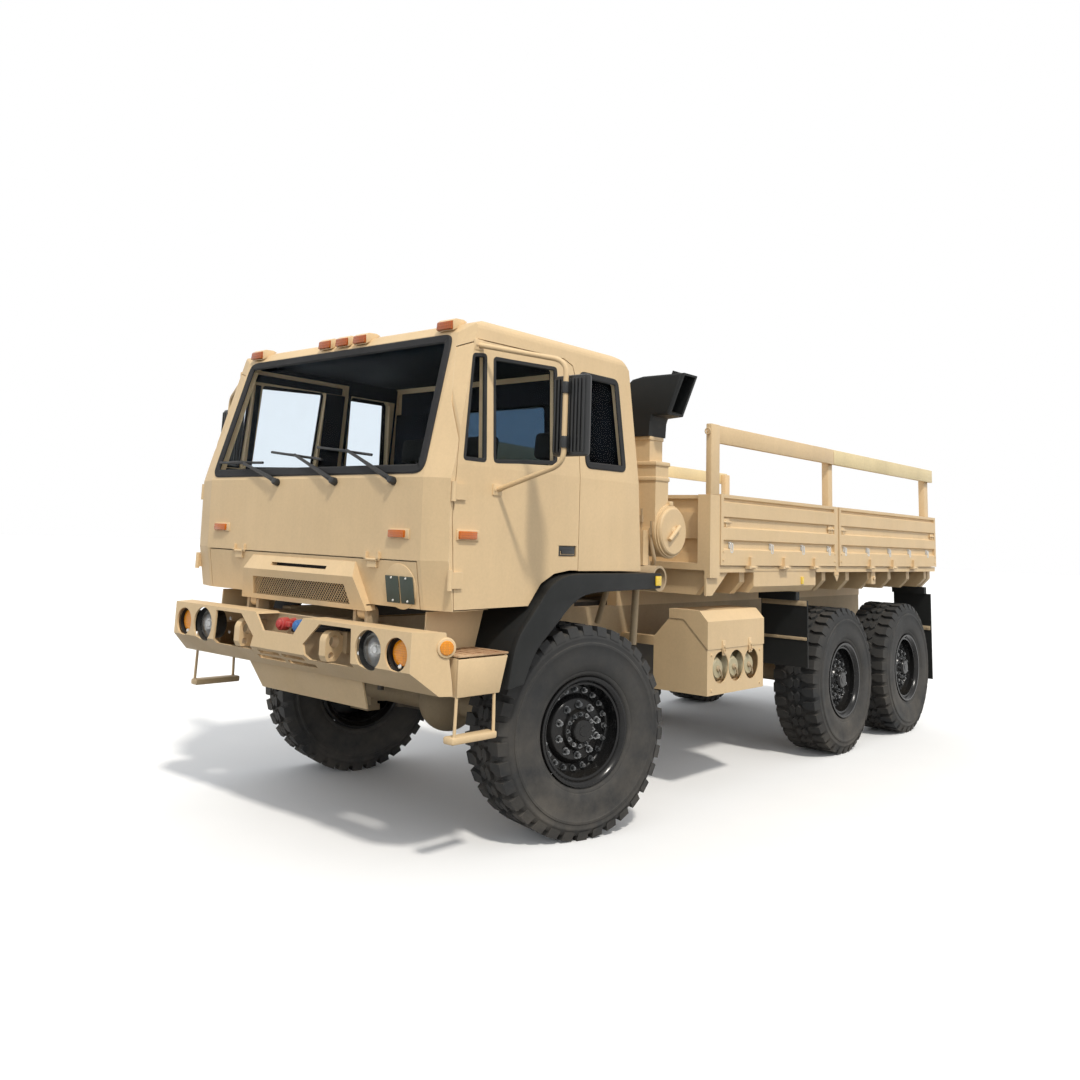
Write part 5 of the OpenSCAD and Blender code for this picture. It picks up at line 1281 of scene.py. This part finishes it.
# Flare edges as places ahead of the front axle and heights
FLARE_OUTER = ((0.767, 0.867), (0.711, 1.114), (0.560, 1.262), (0.505, 1.325), (0.452, 1.382), (0.345, 1.433),
               (0.214, 1.452), (-0.640, 1.452))
FLARE_INNER = ((-0.640, 1.359), (0.037, 1.346), (0.160, 1.328), (0.274, 1.271), (0.417, 1.152),
               (0.562, 1.044), (0.642, 0.882))
LINER_INNER = ((-0.600, 1.432), (0.212, 1.432), (0.338, 1.414), (0.440, 1.366), (0.490, 1.310),
               (0.546, 1.247), (0.692, 1.106), (0.747, 0.867))
FLARE_OUT = 1.200


def make_steps():
    """Sheet-metal steps with a rusted tread, and a stirrup on thin rods below each."""
    sheets, treads = bmesh.new(), bmesh.new()
    for side, sign in SIDES:
        def at(x, y, z):
            return Vector((ahead(x), sign * y, z))
        def block(bm, low, high, bevel=0.003):
            corners = [at(*low), at(*high)]
            slab(bm, *[Vector(map(pick, *corners)) for pick in (min, max)], bevel)
        face = ((0.820, STEP_LOW), (1.126, STEP_LOW), (1.126, STEP_TOP - 0.018), (0.766, STEP_TOP - 0.018))
        plate(sheets, [at(x, STEP_OUT, z) for x, z in face], (0, -sign * 0.012, 0), 0.003)
        plate(sheets,
              [at(x, STEP_IN + 0.012, z) for x,
               z in ((0.760, 1.046), (1.126, 1.046), (1.120, 1.250), (0.700, 1.250))], (0, -sign * 0.012, 0),
              0.002)
        plate(sheets,
              [at(0.820, STEP_IN, STEP_LOW), at(0.820, STEP_OUT - 0.013, STEP_LOW),
               at(0.760, STEP_OUT - 0.013, STEP_TOP - 0.014), at(0.760, STEP_IN, STEP_TOP - 0.014)],
              (0.012, 0, 0.002), 0.002)
        block(sheets, (1.114, STEP_IN, STEP_LOW), (1.126, STEP_OUT - 0.013, STEP_TOP - 0.014))
        block(sheets, (0.822, STEP_IN, STEP_LOW), (1.124, STEP_OUT - 0.013, STEP_LOW + 0.010))
        block(sheets, (0.900, 0.430, 0.922), (0.980, STEP_IN + 0.001, 0.998), 0.006)
        block(treads, (0.760, STEP_IN, STEP_TOP - 0.011), (1.127, STEP_OUT, STEP_TOP), 0.004)
        for index in range(6):
            x = 0.815 + index * 0.056
            block(treads, (x - 0.009, STEP_IN + 0.03, STEP_TOP - 0.002),
                  (x + 0.009, STEP_OUT - 0.03, STEP_TOP + 0.004), 0.002)
        for top, foot in (((0.848, 1.178, STEP_LOW + 0.004), (0.842, 1.178, 0.655)),
                          ((1.118, 1.178, STEP_LOW + 0.004), (1.122, 1.178, 0.655))):
            tube(sheets, [at(*top), at(*foot)], 0.0085, sides=4)
        block(sheets, (0.824, STEP_OUT - 0.070, STIRRUP_LOW), (1.142, STEP_OUT, STIRRUP_LOW + 0.036), 0.009)
    put(sheets, "step_sheets", "chassis", TAN, ["cab_steps"])
    put(treads, "step_treads", "chassis", RUSTY_TAN)


def make_flares():
    """Moulded wheel-arch flares with eased bends, and the liner sheet behind each."""
    bm = bmesh.new()
    for side, sign in SIDES:
        def chain(points, y):
            return rounded([(ahead(x), sign * y, z) for x, z in points], 0.10, 6)
        outline = chain(FLARE_OUTER, FLARE_OUT) + chain(FLARE_INNER, FLARE_OUT)
        plate(bm, outline, (0, -sign * 0.040, 0), 0.010)
        outline = chain(FLARE_OUTER, FLARE_OUT - 0.030) + chain(LINER_INNER, FLARE_OUT - 0.030)
        plate(bm, outline, (0, -sign * 0.410, 0))
    put(bm, "moulded_flares", "chassis", FLARE, ["fender_flares"], 50)


make_steps()
make_flares()

# Stage, light and camera

FLOOR_HALF = 90.0
CAMERA_PLACE = (6.828, 4.6673, 1.6475)
CAMERA_YAW, CAMERA_PITCH, CAMERA_ROLL = (math.radians(angle) for angle in (-138.625, 8.739, 2.157))
FRAME_PIXELS = 1080
FOCAL_PIXELS = 980.72
OPTICAL_CENTRE = (524.60, 385.92)


def seen_straight(tree):
    """One where the camera, gloss or glass shows the background, nought where it only lights the truck."""
    path = add_node(tree, "ShaderNodeLightPath").outputs
    mirrored = maths(tree, "ADD", path["Is Glossy Ray"], path["Is Transmission Ray"])
    return maths(tree, "ADD", path["Is Camera Ray"], mirrored, True)


def make_floor():
    bm = bmesh.new()
    bmesh.ops.create_grid(bm, x_segments=8, y_segments=8, size=FLOOR_HALF)
    mesh = bpy.data.meshes.new("pale_floor")
    bm.to_mesh(mesh)
    bm.free()
    floor = bpy.data.objects.new("pale_floor", mesh)
    scene.collection.objects.link(floor)
    material, tree, shader = new_material("pale_floor")
    pale = use_group(tree, MOTTLE, {"Color": (0.86, 0.86, 0.86, 1), "Amount": 0.01, "Streaks": 0.0})["Color"]
    dim = (0.08, 0.08, 0.078, 1)
    tree.links.new(blend_colour(tree, seen_straight(tree), dim, pale), shader.inputs["Base Color"])
    shader.inputs["Roughness"].default_value = 0.9
    mesh.materials.append(material)


def make_light():
    world = bpy.data.worlds.new("studio")
    scene.world = world
    world.use_nodes = True
    tree = world.node_tree
    tree.nodes.clear()
    seen = seen_straight(tree)
    towards = add_node(tree, "ShaderNodeTexCoord").outputs["Generated"]
    rise = add_node(tree, "ShaderNodeSeparateXYZ", {"Vector": towards}).outputs["Z"]
    glow = spread(tree, rise, 0.0, 1.0, 1.42, 0.66)
    soft = add_node(tree, "ShaderNodeBackground",
                    {"Color": (0.95, 0.975, 1.0, 1), "Strength": glow}).outputs[0]
    white = add_node(tree, "ShaderNodeBackground", {"Color": (1, 1, 1, 1), "Strength": 1.0}).outputs[0]
    mixed = add_node(tree, "ShaderNodeMixShader", {0: seen, 1: soft, 2: white}).outputs[0]
    tree.links.new(mixed, tree.nodes.new("ShaderNodeOutputWorld").inputs["Surface"])
    key = bpy.data.lights.new("key", "SUN")
    key.energy, key.angle, key.color = 2.3, math.radians(5), (1.0, 0.955, 0.88)
    lamp = bpy.data.objects.new("key", key)
    lamp.rotation_euler = Vector((-0.30, -0.52, -0.80)).to_track_quat("-Z", "Y").to_euler()
    scene.collection.objects.link(lamp)


def make_camera():
    forward = Vector((math.cos(CAMERA_YAW) * math.cos(CAMERA_PITCH),
                      math.sin(CAMERA_YAW) * math.cos(CAMERA_PITCH), math.sin(CAMERA_PITCH)))
    level = forward.cross(Z).normalized()
    upright = level.cross(forward)
    right = level * math.cos(CAMERA_ROLL) + upright * math.sin(CAMERA_ROLL)
    up = upright * math.cos(CAMERA_ROLL) - level * math.sin(CAMERA_ROLL)
    camera = bpy.data.cameras.new("camera")
    camera.sensor_width = 36.0
    camera.lens = camera.sensor_width * FOCAL_PIXELS / FRAME_PIXELS
    camera.shift_x = 0.5 - OPTICAL_CENTRE[0] / FRAME_PIXELS
    camera.shift_y = OPTICAL_CENTRE[1] / FRAME_PIXELS - 0.5
    camera.clip_end = 400
    holder = bpy.data.objects.new("camera", camera)
    holder.matrix_world = Matrix.Translation(CAMERA_PLACE) @ Matrix((right, up,
                                                                     -forward)).transposed().to_4x4()
    scene.collection.objects.link(holder)
    scene.camera = holder


make_floor()
make_light()
make_camera()
scene.view_settings.view_transform = "Standard"
